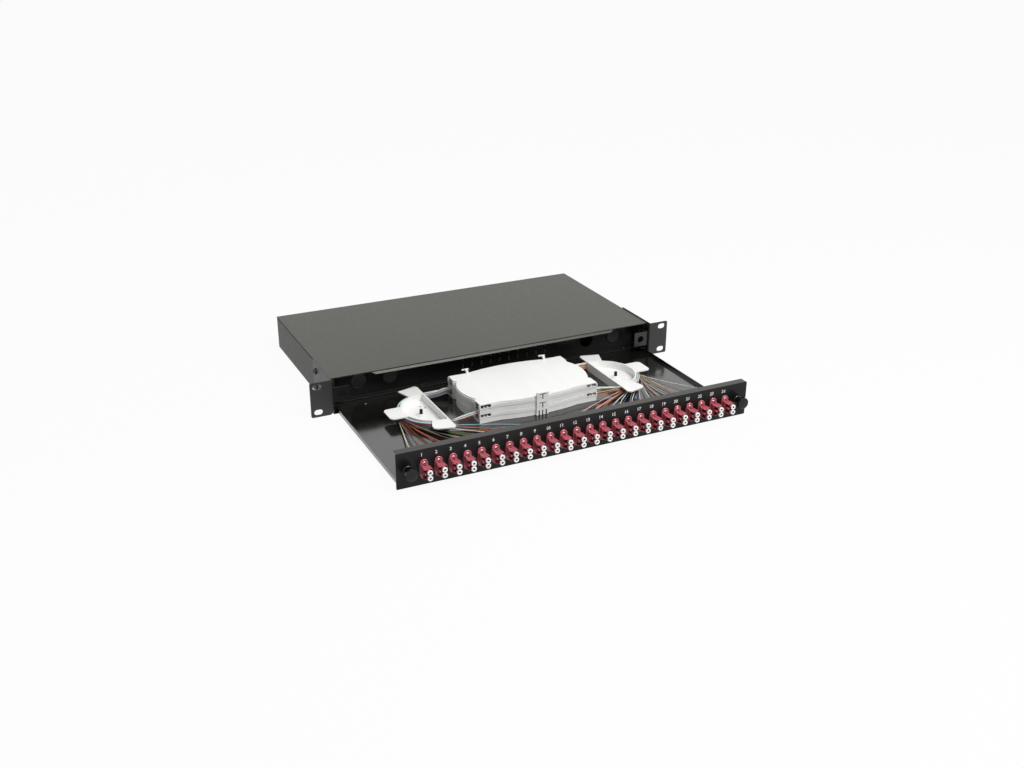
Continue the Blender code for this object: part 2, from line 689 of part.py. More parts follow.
def cassette_outline(inset=0.0):
    """The cassette seen from above, about its middle: four corner blocks, with a bulge between each two."""
    end = CASSETTE_LENGTH / 2 - inset
    side = CASSETTE_DEPTH / 2 - inset
    block_x = CASSETTE_LENGTH / 2 - CORNER_BLOCK_LENGTH
    block_y = CASSETTE_DEPTH / 2 - CORNER_BLOCK_DEPTH + inset
    notch_x = end - CORNER_NOTCH
    notch_y = CASSETTE_DEPTH / 2 - CORNER_BLOCK_DEPTH - CORNER_NOTCH / 2
    end_rise = CASSETTE_END_BULGE + CORNER_NOTCH
    right = bulge((notch_x, -notch_y), (notch_x, notch_y), end_rise)
    rear = bulge((block_x, side), (-block_x, side), CASSETTE_SIDE_BULGE)
    left = bulge((-notch_x, notch_y), (-notch_x, -notch_y), end_rise)
    front = bulge((-block_x, -side), (block_x, -side), CASSETTE_SIDE_BULGE)
    return (right + [(end, block_y), (end, side)] + rear + [(-end, side), (-end, block_y)]
            + left + [(-end, -block_y), (-end, -side)] + front + [(end, -side), (end, -block_y)])


def rear_tongue(side, root):
    """A T-shaped tongue at the rear of a cassette or the lid, from the root to its cross bar."""
    middle = side * TONGUE_OFFSET
    bar_y = CASSETTE_DEPTH / 2 + TONGUE_REACH
    half = TONGUE_THICKNESS / 2
    stem = box((middle - TONGUE_WIDTH / 2, middle + TONGUE_WIDTH / 2), (root, bar_y),
               (TONGUE_LEVEL - half, TONGUE_LEVEL + half))
    ring = arc((bar_y, TONGUE_LEVEL), TONGUE_BAR_DIAMETER / 2, 0, 360, 10)[:-1]
    bar = prism(ring, middle - TONGUE_BAR_LENGTH / 2, middle + TONGUE_BAR_LENGTH / 2, "X")
    return fused(stem, bar)


def clip_slot(width, middle, low, high):
    """A cutter for an upright or level slot in the face of a clip block."""
    return box((middle - width / 2, middle + width / 2), (CLIP_FRONT - SHEET, CLIP_FRONT + CLIP_SLOT_DEPTH),
               (low, high))


def t_slot():
    """The cutter for the T-shaped slot that a unit's clip block has above its foot."""
    bar = clip_slot(CLIP_BAR_WIDTH, 0.0, CLIP_SLOT_TOP - CLIP_BAR_HEIGHT, CLIP_SLOT_TOP)
    stem = clip_slot(CLIP_SLOT_WIDTH, 0.0, -SHEET, CLIP_SLOT_TOP)
    return fused(bar, stem)


def corner_slot(side, row):
    """A cutter for the low comb of fibre slots in a corner block's front or rear wall."""
    middle = side * (CASSETTE_LENGTH / 2 - SLOT_SETBACK)
    inner = row * (CASSETTE_DEPTH / 2 - 2 * CASSETTE_WALL)
    outer = row * (CASSETTE_DEPTH / 2 + CASSETTE_WALL)
    depths = sorted((inner, outer))
    bottom = CASSETTE_HEIGHT - SLOT_DEPTH
    slot = box((middle - SLOT_WIDTH / 2, middle + SLOT_WIDTH / 2), depths, (bottom, 2 * CASSETTE_HEIGHT))
    reach = (depths[0] - SHEET, depths[1] + SHEET)
    teeth = []
    for hand in (-1, 1):
        tooth = middle + hand * SLOT_TOOTH_PITCH / 2
        teeth.append(box((tooth - SLOT_TOOTH / 2, tooth + SLOT_TOOTH / 2), reach,
                         (bottom - SHEET, bottom + SLOT_TOOTH_HEIGHT)))
    return cut(slot, *teeth)


def cassette_mesh(slots):
    """A splice cassette about its middle: an open tray whose rim stands out over its lower wall, with fibre
    ports in the corner blocks, two round winding hubs, two tongues at the rear and a clip block at the front.
    The slots are the cutters for the lower part of the clip block."""
    rim = prism(cassette_outline(), RIM_BOTTOM, CASSETTE_HEIGHT)
    wall = prism(cassette_outline(RIM_STEP), 0.0, RIM_BOTTOM + RIM_STEP)
    clip_back = CLIP_FRONT + CLIP_DEPTH + RIM_STEP + CASSETTE_WALL / 2
    clip = box((-CLIP_WIDTH / 2, CLIP_WIDTH / 2), (CLIP_FRONT, clip_back), (0.0, CASSETTE_HEIGHT))
    tray = fused(rim, wall, clip)
    port_y = CASSETTE_DEPTH / 2 - PORT_SETBACK
    end = CASSETTE_LENGTH / 2
    ports = []
    for side in (-1, 1):
        tray = fused(tray, rear_tongue(side, CASSETTE_DEPTH / 2 - CASSETTE_WALL / 2))
        for row in (-1, 1):
            reach = sorted((side * (end - 2 * CASSETTE_WALL), side * (end + CASSETTE_WALL)))
            ports.append(box(reach, (row * port_y - PORT_WIDTH / 2, row * port_y + PORT_WIDTH / 2),
                             (PORT_SILL, 2 * CASSETTE_HEIGHT)))
            ports.append(corner_slot(side, row))
    recess = prism(cassette_outline(CASSETTE_WALL), CASSETTE_FLOOR, 2 * CASSETTE_HEIGHT)
    top_notch = clip_slot(CLIP_SLOT_WIDTH, 0.0, CASSETTE_HEIGHT - CLIP_SLOT_OVERRUN, 2 * CASSETTE_HEIGHT)
    tray = cut(cut(tray, recess), *ports, *slots, top_notch)
    for side in (-1, 1):
        outer = HUB_DIAMETER / 2
        inner = outer - CASSETTE_WALL
        base = CASSETTE_FLOOR / 2
        hub_profile = [(inner, base), (outer, base), (outer, HUB_HEIGHT), (inner, HUB_HEIGHT)]
        tray = fused(tray, turned(hub_profile, (side * HUB_OFFSET, 0.0, 0.0), axis="Z", steps=20))
    return tray


def lid_mesh():
    """The lid, about the cassette's middle with its underside on Z = 0: a plate, an upright clip block at the
    front and two posts at the rear that carry tongues like the cassettes'."""
    plate = prism(cassette_outline(LID_INSET), 0.0, LID_THICKNESS)
    half = CLIP_WIDTH / 2
    upright = box((-half, half), (CLIP_FRONT, CLIP_FRONT + CLIP_DEPTH), (0.0, LID_CLIP_HEIGHT))
    bridge_back = CLIP_FRONT + CLIP_DEPTH + LID_INSET + CASSETTE_WALL
    bridge = box((-half, half), (CLIP_FRONT + CLIP_DEPTH / 2, bridge_back), (0.0, LID_THICKNESS))
    lid = cut(fused(plate, bridge, upright), t_slot())
    rear = CASSETTE_DEPTH / 2 - LID_INSET
    for side in (-1, 1):
        middle = side * TONGUE_OFFSET
        post = box((middle - TONGUE_WIDTH / 2, middle + TONGUE_WIDTH / 2), (rear - LID_POST, rear),
                   (LID_THICKNESS / 2, TONGUE_LEVEL + TONGUE_THICKNESS / 2))
        lid = fused(lid, fused(post, rear_tongue(side, rear - LID_POST / 2)))
    return lid


def splice_holder_mesh():
    """The comb for the splice sleeves, about the cassette's middle: a base with two rows of teeth."""
    bottom = CASSETTE_FLOOR + GAP
    top = bottom + HOLDER_BASE
    base = box((-HOLDER_LENGTH / 2, HOLDER_LENGTH / 2), (-HOLDER_WIDTH / 2, HOLDER_WIDTH / 2), (bottom, top))
    teeth = []
    for side in (-1, 1):
        middle_x = side * TOOTH_OFFSET
        for number in range(SLEEVE_COUNT + 1):
            middle_y = (number - SLEEVE_COUNT / 2) * SLEEVE_PITCH
            teeth.append(box((middle_x - TOOTH_LENGTH / 2, middle_x + TOOTH_LENGTH / 2),
                             (middle_y - TOOTH_WIDTH / 2, middle_y + TOOTH_WIDTH / 2),
                             (top - HOLDER_BASE / 2, top + TOOTH_HEIGHT)))
    return fused(base, joined(teeth))


def wing_outlines():
    """The three holding wings of the right spool, seen from above, about the middle of its flat wall."""
    reach = WING_REACH
    radius = SPOOL_RADIUS
    shift = SPOOL_CENTRE_SHIFT
    rear = [(0.0, radius - 2 * SPOOL_WALL), (reach, radius - 4 * SPOOL_WALL),
            (reach + 0.0075, radius + 0.0155), (0.003, radius + 0.0215), (0.0, radius + 0.0185)]
    front = [(0.0, -radius + 2 * SPOOL_WALL), (0.0, -radius - 0.0190), (0.0035, -radius - 0.0220),
             (reach + 0.0025, -radius - 0.0175), (reach + 0.0062, -radius - 0.0145),
             (reach + 0.0062, -radius - 0.0090), (reach, -radius + 4 * SPOOL_WALL)]
    half = WING_HALF_WIDTH
    root = radius - 2 * SPOOL_WALL
    corner_x = radius + shift + reach - WING_ROUNDING
    corner_y = half - WING_ROUNDING
    outer = ([(root, -half)] + arc((corner_x, -corner_y), WING_ROUNDING, -90, 0, 4)
             + arc((corner_x, corner_y), WING_ROUNDING, 0, 90, 4) + [(root, half)])
    return [rear, outer, front]


def spool_mesh(side):
    """A cable spool: a D-shaped cup with three wings at its rim. It is drawn about the middle of its flat
    wall."""
    height = SPOOL_HEIGHT
    shift = SPOOL_CENTRE_SHIFT
    rim = arc((shift, 0.0), SPOOL_RADIUS, -90, 90, 20)
    drum = prism(mirrored([(0.0, -SPOOL_RADIUS)] + rim + [(0.0, SPOOL_RADIUS)], side), 0.0, height)
    spool = drum
    for outline in wing_outlines():
        spool = fused(spool, prism(mirrored(outline, side), height - WING_THICKNESS, height))
    hollow = arc((shift, 0.0), SPOOL_RADIUS - SPOOL_WALL, -88, 88, 20)
    recess = [(SPOOL_WALL, hollow[0][1])] + hollow + [(SPOOL_WALL, hollow[-1][1])]
    spool = cut(spool, prism(mirrored(recess, side), SPOOL_FLOOR, 2 * height))
    boss_place = (side * STUD_OFFSET, 0.0, 0.0)
    boss = cylinder(BOSS_DIAMETER / 2, SPOOL_FLOOR / 2, SPOOL_FLOOR + BOSS_HEIGHT, boss_place, "Z")
    spool = fused(spool, boss)
    through = (-SPOOL_FLOOR, 3 * SPOOL_FLOOR)
    holes = [cylinder(STUD_DIAMETER / 2 + STUD_PLAY, *through, boss_place, "Z", 12)]
    for eye in ((0.0105, 0.0235), (0.0065, 0.0180)):
        holes.append(cylinder(SPOOL_EYE_DIAMETER / 2, *through, (side * eye[0], eye[1], 0.0), "Z", 8))
    return cut(spool, *holes)


def stud_mesh():
    """The spool's stud, drawn up from its foot: a rod with a thin collar over the spool's boss."""
    rod = STUD_DIAMETER / 2
    collar = STUD_COLLAR_DIAMETER / 2
    seat = SPOOL_FLOOR + BOSS_HEIGHT + GAP
    profile = [(0.0, 0.0), (rod, 0.0), (rod, seat), (collar, seat), (collar, seat + STUD_COLLAR_THICKNESS),
               (rod, seat + STUD_COLLAR_THICKNESS), (rod, STUD_HEIGHT), (0.0, STUD_HEIGHT)]
    return turned(profile, (0.0, 0.0, 0.0), axis="Z", steps=12)


def smooth_route(points, spacing):
    """Points along a smooth curve through the route, about the given distance apart."""
    route = [Vector(point) for point in points]
    padded = [2 * route[0] - route[1]] + route + [2 * route[-1] - route[-2]]
    fine = []
    for before, start, end, after in zip(padded, padded[1:], padded[2:], padded[3:]):
        handle_out = start + (end - before) / 6
        handle_in = end - (after - start) / 6
        fine += interpolate_bezier(start, handle_out, handle_in, end, 24)[:-1]
    fine.append(route[-1])
    length = sum((b - a).length for a, b in zip(fine, fine[1:]))
    count = max(3, round(length / spacing))
    step = length / count
    placed = [fine[0]]
    walked = 0.0
    for a, b in zip(fine, fine[1:]):
        run = (b - a).length
        while len(placed) < count and walked + run >= step * len(placed):
            placed.append(a.lerp(b, (step * len(placed) - walked) / run))
        walked += run
    placed.append(fine[-1])
    return placed


def add_cord(name, points, diameter, parent, material):
    """A round bundle of fibres along a smooth curve through the points."""
    curve = bpy.data.curves.new(name, "CURVE")
    curve.dimensions = "3D"
    curve.bevel_depth = diameter / 2
    curve.bevel_resolution = 2
    curve.use_fill_caps = True
    placed = smooth_route(points, 3 * diameter)
    spline = curve.splines.new("POLY")
    spline.points.add(len(placed) - 1)
    for point, place in zip(spline.points, placed):
        point.co = (*place, 1.0)
    curve.materials.append(material)
    piece = bpy.data.objects.new(name, curve)
    bpy.context.scene.collection.objects.link(piece)
    piece.parent = parent
    return piece


def pigtail_routes(side):
    """The routes of one side's bundles, in the rack frame: the loop round the spool between the two ports of
    the lower cassette, and three fans from the spool to the adapters' connectors."""
    loop = [(-0.0790, -0.0215, 0.0113), (-0.0860, -0.0185, 0.0112), (-0.1000, -0.0145, 0.0108),
            (-0.1130, -0.0157, 0.0105), (-0.1290, -0.0185, 0.0102), (-0.1430, -0.0290, 0.0101),
            (-0.1525, -0.0430, 0.0101), (-0.1560, -0.0590, 0.0101), (-0.1530, -0.0760, 0.0101),
            (-0.1425, -0.0910, 0.0101), (-0.1285, -0.1003, 0.0101), (-0.1130, -0.1040, 0.0103),
            (-0.1000, -0.1040, 0.0106), (-0.0880, -0.1005, 0.0110), (-0.0790, -0.0981, 0.0113)]
    outer = [(-0.1560, -0.0830, 0.0065), (-0.1600, -0.0950, 0.0065), (-0.1635, -0.1120, 0.0085),
             (-0.1665, -0.1310, 0.0155), (-0.1687, -0.1490, 0.0225)]
    middle = [(-0.1440, -0.0985, 0.0065), (-0.1380, -0.1070, 0.0065), (-0.1270, -0.1190, 0.0085),
              (-0.1150, -0.1330, 0.0150), (-0.1065, -0.1490, 0.0225)]
    inner = [(-0.1180, -0.1110, 0.0065), (-0.1040, -0.1160, 0.0065), (-0.0840, -0.1210, 0.0080),
             (-0.0600, -0.1310, 0.0140), (-0.0440, -0.1490, 0.0225)]
    boot_end = PANEL_FACE + ADAPTER_REAR + CONNECTOR_LENGTH + BOOT_LENGTH + GAP
    for fan, number in ((outer, 1), (middle, 5), (inner, 9)):
        fan.append((adapter_x(number), boot_end, ADAPTER_Z + PORT_PITCH / 2))
    routes = {"loop": loop, "fan_outer": outer, "fan_middle": middle, "fan_inner": inner}
    return {name: [(-side * x, y, z) for x, y, z in route] for name, route in routes.items()}


def build_housing(assembly, steel):
    add_object("housing_shell", housing_mesh(), assembly, steel)
    add_object("top_cover", cover_mesh(), assembly, steel)
    ear_steel = make_material("ear_paint", (0.030, 0.030, 0.029), 0.5, 0.3)
    nylon = make_material("rail_nylon", (0.020, 0.020, 0.020), 0.45)
    zinc = make_material("bracket_paint", (0.045, 0.045, 0.044), 0.5, 0.3)
    for side, hand in ((-1, "left"), (1, "right")):
        add_object("rack_ear_" + hand, ear_mesh(side), assembly, ear_steel)
        add_object("guide_rail_" + hand, rail_mesh(side), assembly, nylon)
        add_object("latch_bracket_" + hand, bracket_mesh(side), assembly, zinc)


def build_drawer(assembly, steel):
    drawer = add_empty("drawer", assembly)
    add_object("drawer_tray", tray_mesh(), drawer, steel)
    add_object("tray_rear_wall", rear_wall_mesh(), drawer, steel)
    panel_paint = make_material("panel_paint", (0.022, 0.023, 0.022), 0.5, 0.2)
    add_object("front_panel", panel_mesh(), drawer, panel_paint)
    rubber = make_material("plug_rubber", (0.012, 0.012, 0.012), 0.7)
    for name, side, column in (("left", -1, 1), ("right", 1, 0)):
        add_object("entry_plug_" + name, plug_mesh(), drawer, rubber, entry_centre(side, column))
    heather = make_material("adapter_plastic", (0.42, 0.040, 0.085), 0.35)
    shared = adapter_mesh()
    for number in range(ADAPTER_COUNT):
        place = (adapter_x(number), PANEL_FACE, ADAPTER_Z)
        add_object(f"adapter_{number + 1:02d}", shared, drawer, heather, place)
    return drawer


def build_plungers(drawer):
    nylon = make_material("knob_nylon", (0.018, 0.018, 0.018), 0.4)
    for side, hand in ((-1, "left"), (1, "right")):
        place = (side * KNOB_X, 0.0, PANEL_MIDDLE)
        add_object("plunger_grommet_" + hand, grommet_mesh(), drawer, nylon, place)
        add_object("plunger_knob_" + hand, plunger_mesh(), drawer, nylon, place)


def build_cassettes(drawer):
    white = make_material("cassette_plastic", (0.80, 0.80, 0.78), 0.4)
    grey = make_material("holder_rubber", (0.55, 0.55, 0.54), 0.6)
    holder = splice_holder_mesh()
    prongs = [clip_slot(PRONG_SLOT_WIDTH, place * PRONG_SLOT_PITCH, -SHEET, PRONG_SLOT_HEIGHT)
              for place in (-1, 0, 1)]
    for name, level, slots in (("lower", CASSETTE_LOWER_Z, prongs), ("upper", CASSETTE_UPPER_Z, [t_slot()])):
        add_object("cassette_" + name, cassette_mesh(slots), drawer, white, (0.0, CASSETTE_Y, level))
        add_object("splice_holder_" + name, holder, drawer, grey, (0.0, CASSETTE_Y, level))
    add_object("cassette_lid", lid_mesh(), drawer, white, (0.0, CASSETTE_Y, LID_Z))


def build_spools(drawer):
    white = make_material("spool_plastic", (0.82, 0.82, 0.80), 0.4)
    black = make_material("stud_black", (0.015, 0.015, 0.015), 0.45)
    for side, hand in ((-1, "left"), (1, "right")):
        place = (side * SPOOL_X, CASSETTE_Y, SPOOL_Z)
        add_object("cable_spool_" + hand, spool_mesh(side), drawer, white, place)
        stud_place = (side * (SPOOL_X + STUD_OFFSET), CASSETTE_Y, SPOOL_Z)
        add_object("spool_stud_" + hand, stud_mesh(), drawer, black, stud_place)


def build_pigtails(drawer):
    fibre = make_material("fibre_bundle", (0.35, 0.22, 0.20), 0.5)
    for side, hand in ((-1, "left"), (1, "right")):
        for name, route in pigtail_routes(side).items():
            diameter = LOOP_DIAMETER if name == "loop" else FAN_DIAMETER
            add_cord(f"pigtail_{name}_{hand}", route, diameter, drawer, fibre)


def main():
    clear_scene()
    assembly = add_empty("assembly", location=(0.0, EAR_PLANE_Y, 0.0))
    steel = make_material("housing_paint", (0.055, 0.056, 0.052), 0.5, 0.3)
    build_housing(assembly, steel)
    drawer = build_drawer(assembly, steel)
    build_plungers(drawer)
    build_cassettes(drawer)
    build_spools(drawer)
    build_pigtails(drawer)


main()
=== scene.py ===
# The looks of the sliding fibre patch panel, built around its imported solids.
#
# Places are in metres in the rack frame: X to the right seen from the front, Y towards the rear
# from the ears' front faces, Z up from the underside. place() turns them into the model's frame.

import math
import random

import bmesh
import bpy
from mathutils import Matrix, Vector
from mathutils.geometry import interpolate_bezier


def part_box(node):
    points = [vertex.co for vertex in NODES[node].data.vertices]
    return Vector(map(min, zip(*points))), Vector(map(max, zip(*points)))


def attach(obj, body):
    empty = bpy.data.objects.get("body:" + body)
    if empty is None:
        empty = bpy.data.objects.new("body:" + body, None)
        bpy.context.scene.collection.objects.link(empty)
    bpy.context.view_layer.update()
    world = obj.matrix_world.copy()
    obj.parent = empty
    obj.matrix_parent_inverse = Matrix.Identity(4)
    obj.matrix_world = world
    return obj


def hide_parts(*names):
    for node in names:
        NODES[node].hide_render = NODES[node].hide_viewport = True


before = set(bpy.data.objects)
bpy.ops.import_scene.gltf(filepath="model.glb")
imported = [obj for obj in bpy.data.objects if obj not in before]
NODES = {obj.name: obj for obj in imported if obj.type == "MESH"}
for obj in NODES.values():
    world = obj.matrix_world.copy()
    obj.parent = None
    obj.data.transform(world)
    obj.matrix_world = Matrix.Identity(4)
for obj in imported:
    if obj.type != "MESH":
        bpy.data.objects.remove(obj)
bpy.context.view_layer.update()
EAR_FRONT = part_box("rack_ear_left")[0].y
SIDES = ((-1, "left"), (1, "right"))

# Camera, solved from the photograph
CAMERA_AZIMUTH = -25.942
CAMERA_ELEVATION = 23.568
CAMERA_ROLL = 0.225
CAMERA_DISTANCE = 1.41187
CAMERA_TARGET = (0.001708, -0.029086, 0.009584)
FOCAL_PIXELS = 1161.49
IMAGE_WIDTH = 1024
SENSOR_WIDTH = 36.0

# Light and background. The world's light grows along the lean's direction from its least.
LAMP_PLACE = (0.40, -1.22, 1.58)
LAMP_TARGET = (0.0, -0.05, 0.0)
LAMP_SIZE = (1.2, 0.9)
LAMP_POWER = 38.5
WORLD_LEAN = (0.34, 0.40, 0.20)
WORLD_LEVEL = 0.24
WORLD_LEAST = 0.12
FLOOR_HALF = 12.0
FLOOR_DROP = 0.0001
FLOOR_COLOUR = (0.60, 0.60, 0.60, 1.0)
FLOOR_WHITENESS = 0.95
WHITE = (1.0, 1.0, 1.0, 1.0)

# Materials. Most of a noise's values lie between its low and high ones here. A painted sheen, a
# lighter brownish grey in place of the reflection of the bright surroundings, shows on faces whose
# normals point up by more than the first share.
NOISE_LOW, NOISE_HIGH = 0.3, 0.7
SHEEN_COLOUR = (0.60, 0.58, 0.54, 1.0)
SHEEN_FROM, SHEEN_FULL = 0.7, 0.95
COAT_ROUGHNESS = 0.12
SUBSURFACE_RADIUS = (0.002, 0.0016, 0.0014)

# Meshes. A dark floor of painted shade stands proud of the form under it by the skin's width.
SMOOTH_ANGLE = math.radians(35.0)
SOFTEN_ANGLE = math.radians(40)
WELD_DISTANCE = 0.00001
EDGE_SEGMENTS = 2
SHADE_SKIN = 0.00004

# The adapters. Depths run along Y from the panel's front face, and are negative in front of it.
ADAPTER_COUNT = 24
ADAPTER_Z = 0.0211
PORT_PITCH = 0.00625
FLANGE_HALF_HEIGHT = 0.011
FLANGE_HALF_WIDTH = 0.0044
FLANGE_RINGS = ((-0.0003, 0.0), (-0.0014, 0.0), (-0.0016, 0.0002))
FLANGE_STEPS = 14
SCREW_HEIGHT = FLANGE_HALF_HEIGHT - FLANGE_HALF_WIDTH
NECK_HALF_WIDTH = 0.0036
NECK_BACK, NECK_FRONT = -0.0010, -0.0050
HOOD_HALF_WIDTH = 0.0044
HOOD_HALF_HEIGHT = 0.0054
HOOD_BACK, HOOD_FRONT = -0.0065, -0.0145
LATCH_FLOOR = 0.0020 - HOOD_HALF_WIDTH
LATCH_BACK = -0.0080
LATCH_HALF_HEIGHT = 0.0020
MOUTH_HALF_HEIGHT = 0.0026
CAP_DIAMETER = 0.0058
CONNECTOR_HALF = 0.0023
BOOT_RIBS = 6
BOOT_START = 0.0265
BOOT_RADIUS = 0.0019
BOOT_TAPER = 0.0007
BOOT_RIB_PITCH = 0.0019
BOOT_GROOVE = 0.82
BOOT_TIP_RADIUS = 0.0010
BOOT_TIP = 0.0385

# The printed port numbers. They are shifted to the left of the adapters' middles, as in the
# photograph.
NUMBER_SIZE = 0.0052
NUMBER_DEPTH = 0.00003
NUMBER_STROKE = 0.00009
NUMBER_SHIFT = 0.0020
NUMBER_GAP = 0.00005
NUMBER_Z = 0.0355

# The fibres. Rows are counted upwards in the fans and downwards in the loops, and layers and
# columns away from the drum.
FIBRE_DIAMETER = 0.0009
STRAND_DIAMETER = 0.0010
PATH_SPACING = 0.003
CURVE_RESOLUTION = 2
DRUM_X = 0.1122
DRUM_Y = -0.060
DRUM_RADIUS = 0.040
DRUM_STEP = 16.0
PORT_FRONT_Y = -0.0981
PORT_REAR_Y = -0.0215
PORT_LOWER = 0.0122
PORT_COLUMN_STEP = 0.0009
PORT_ROW_STEP = 0.0014
BOOT_END_Y = -0.1696
FIBRE_ROWS = 5
FIBRE_LAYERS = 5
FIBRE_LAYER_STEP = 0.0010
FIBRE_ROW_STEP = 0.0011
FIBRE_LOWEST = 0.0064
FIBRE_START_ANGLE = 82.0
FIBRE_UNEVENNESS = 0.0003
FIBRE_SWAY = 0.0030
FAN_REACH = 0.150
FAN_LOWEST = 0.0070
FAN_ROW_STEP = 0.0004
FAN_SEED = 12
STRAND_COLUMNS = 3
STRAND_COLUMN_STEP = 0.0012
STRAND_ROW_STEP = 0.0011
STRAND_HIGHEST = 0.0136
STRAND_START_ANGLE, STRAND_END_ANGLE = -84.0, 85.0

# What shows in the upper cassette with the lid off
CASSETTE_Y = -0.060
SLEEVE_COUNT = 12
SLEEVE_PITCH = 0.0033
SLEEVE_RISE = 0.0025
WOUND_COUNT = 6
WOUND_COLUMNS = 3
WOUND_DIAMETER = 0.0005
WOUND_HALF_LENGTH = 0.0625
WOUND_HALF_WIDTH = 0.0330
WOUND_COLUMN_STEP = 0.0011
WOUND_Z = 0.0186
WOUND_ROW_STEP = 0.0012
WOUND_STEPS = 36
WOUND_SQUARENESS = 0.75

# Small fittings
CLIP_DEPTH = 0.0012
CLIP_TEE = ((0.0044, 0.0034, 0.0046), (0.00065, 0.0, 0.0036))
CLIP_PRONGS = (-0.0045, 0.0, 0.0045)
CLIP_PRONG_HALF = 0.0008
CLIP_PRONG_HEIGHT = 0.0062
CLIP_NOTCH_HALF = 0.00065
CLIP_NOTCH_HEIGHT = 0.0019
SPOOL_FLAT_WALL = 0.0185
# The discs of painted shade at the bottoms of the spools' eyes
SPOOL_EYES = ((0.0105, 0.0235), (0.0065, 0.0180))
EYE_RADIUS = 0.00149
EYE_FLOOR, EYE_FOOT = 0.0013, 0.0002
EAR_SCREW_RADIUS = 0.0040
EAR_SCREW_X = 0.2163
EAR_SCREW_Y = 0.060
EAR_SCREW_Z = 0.0218
EAR_SCREW_RISE = 0.010
# The strips of painted shade in the gaps along the cover's side edges
GAP_SHADE_FRONT, GAP_SHADE_REAR = 0.0027, 0.0005
GAP_SHADE_TOP, GAP_SHADE_BOTTOM = 0.00025, 0.0015
GAP_SHADE_DEPTH, GAP_SHADE_SKIN = 0.0002, 0.00003
TRAY_SCREW_PLACE = (-0.1752, 0.0030, 0.0045)
RIVET_PLACES = (-0.190, -0.095, 0.0, 0.095, 0.190)
RIVET_Y = 0.0216
RIVET_Z = 0.0060

FIBRE_COLOURS = {
    "blue": (0.05, 0.10, 0.25),
    "orange": (0.62, 0.17, 0.04),
    "green": (0.05, 0.22, 0.07),
    "brown": (0.16, 0.065, 0.03),
    "slate": (0.22, 0.24, 0.25),
    "white": (0.78, 0.77, 0.74),
    "red": (0.42, 0.035, 0.03),
    "black": (0.012, 0.012, 0.012),
    "yellow": (0.47, 0.39, 0.18),
    "violet": (0.15, 0.07, 0.24),
    "rose": (0.70, 0.38, 0.37),
    "aqua": (0.25, 0.50, 0.52),
}

# The fibres' colours in pairs, from the outermost adapter inwards
FAN_COLOURS = {
    "left": ("white", "yellow", "slate", "brown", "brown", "red", "orange", "red",
             "brown", "slate", "yellow", "slate", "red", "green", "white", "green",
             "orange", "brown", "red", "slate", "slate", "violet", "brown", "aqua"),
    "right": ("white", "slate", "rose", "yellow", "yellow", "white", "yellow", "rose",
              "white", "slate", "white", "blue", "white", "slate", "white", "blue",
              "aqua", "white", "brown", "orange", "orange", "rose", "slate", "rose"),
}

# The loops' strands: their colours, and the height of each row of them at the front port
LOOP_COLOURS = {
    "left": ("slate", "white", "aqua", "white", "brown", "violet", "red", "brown", "red"),
    "right": ("white", "aqua", "white", "yellow", "green", "brown", "orange", "red", "orange"),
}
LOOP_PORT_HEIGHTS = {"left": (0.0168, 0.0156, 0.0144), "right": (0.0168, 0.0116, 0.0090)}

# The solids that keep their shape: the material and the width of the rounded edges
FINISHES = {
    "housing_shell": ("shell", 0.00022),
    "top_cover": ("cover", 0.00022),
    "drawer_tray": ("tray", 0.00022),
    "tray_rear_wall": ("wall", 0.00022),
    "front_panel": ("panel", 0.00025),
    "cassette_lower": ("white", 0.00018),
    "cassette_upper": ("white", 0.00018),
    "cassette_lid": ("white", 0.00025),
    "splice_holder_lower": ("holder", 0.0),
    "splice_holder_upper": ("holder", 0.0),
    # The left latch bracket takes the darker wall paint as painted shade; the right one has the
    # ears' paint.
    "latch_bracket_left": ("wall", 0.0002),
    "latch_bracket_right": ("ear", 0.0002),
}
PAIR_FINISHES = {
    "rack_ear": ("ear", 0.0002),
    "guide_rail": ("rail", 0.0001),
    "cable_spool": ("white", 0.0002),
    "spool_stud": ("nylon", 0.0002),
    "entry_plug": ("rubber", 0.0003),
    "plunger_grommet": ("nylon", 0.0003),
    "plunger_knob": ("nylon", 0.0003),
}


def place(x, y, z):
    return Vector((x, y + EAR_FRONT, z))


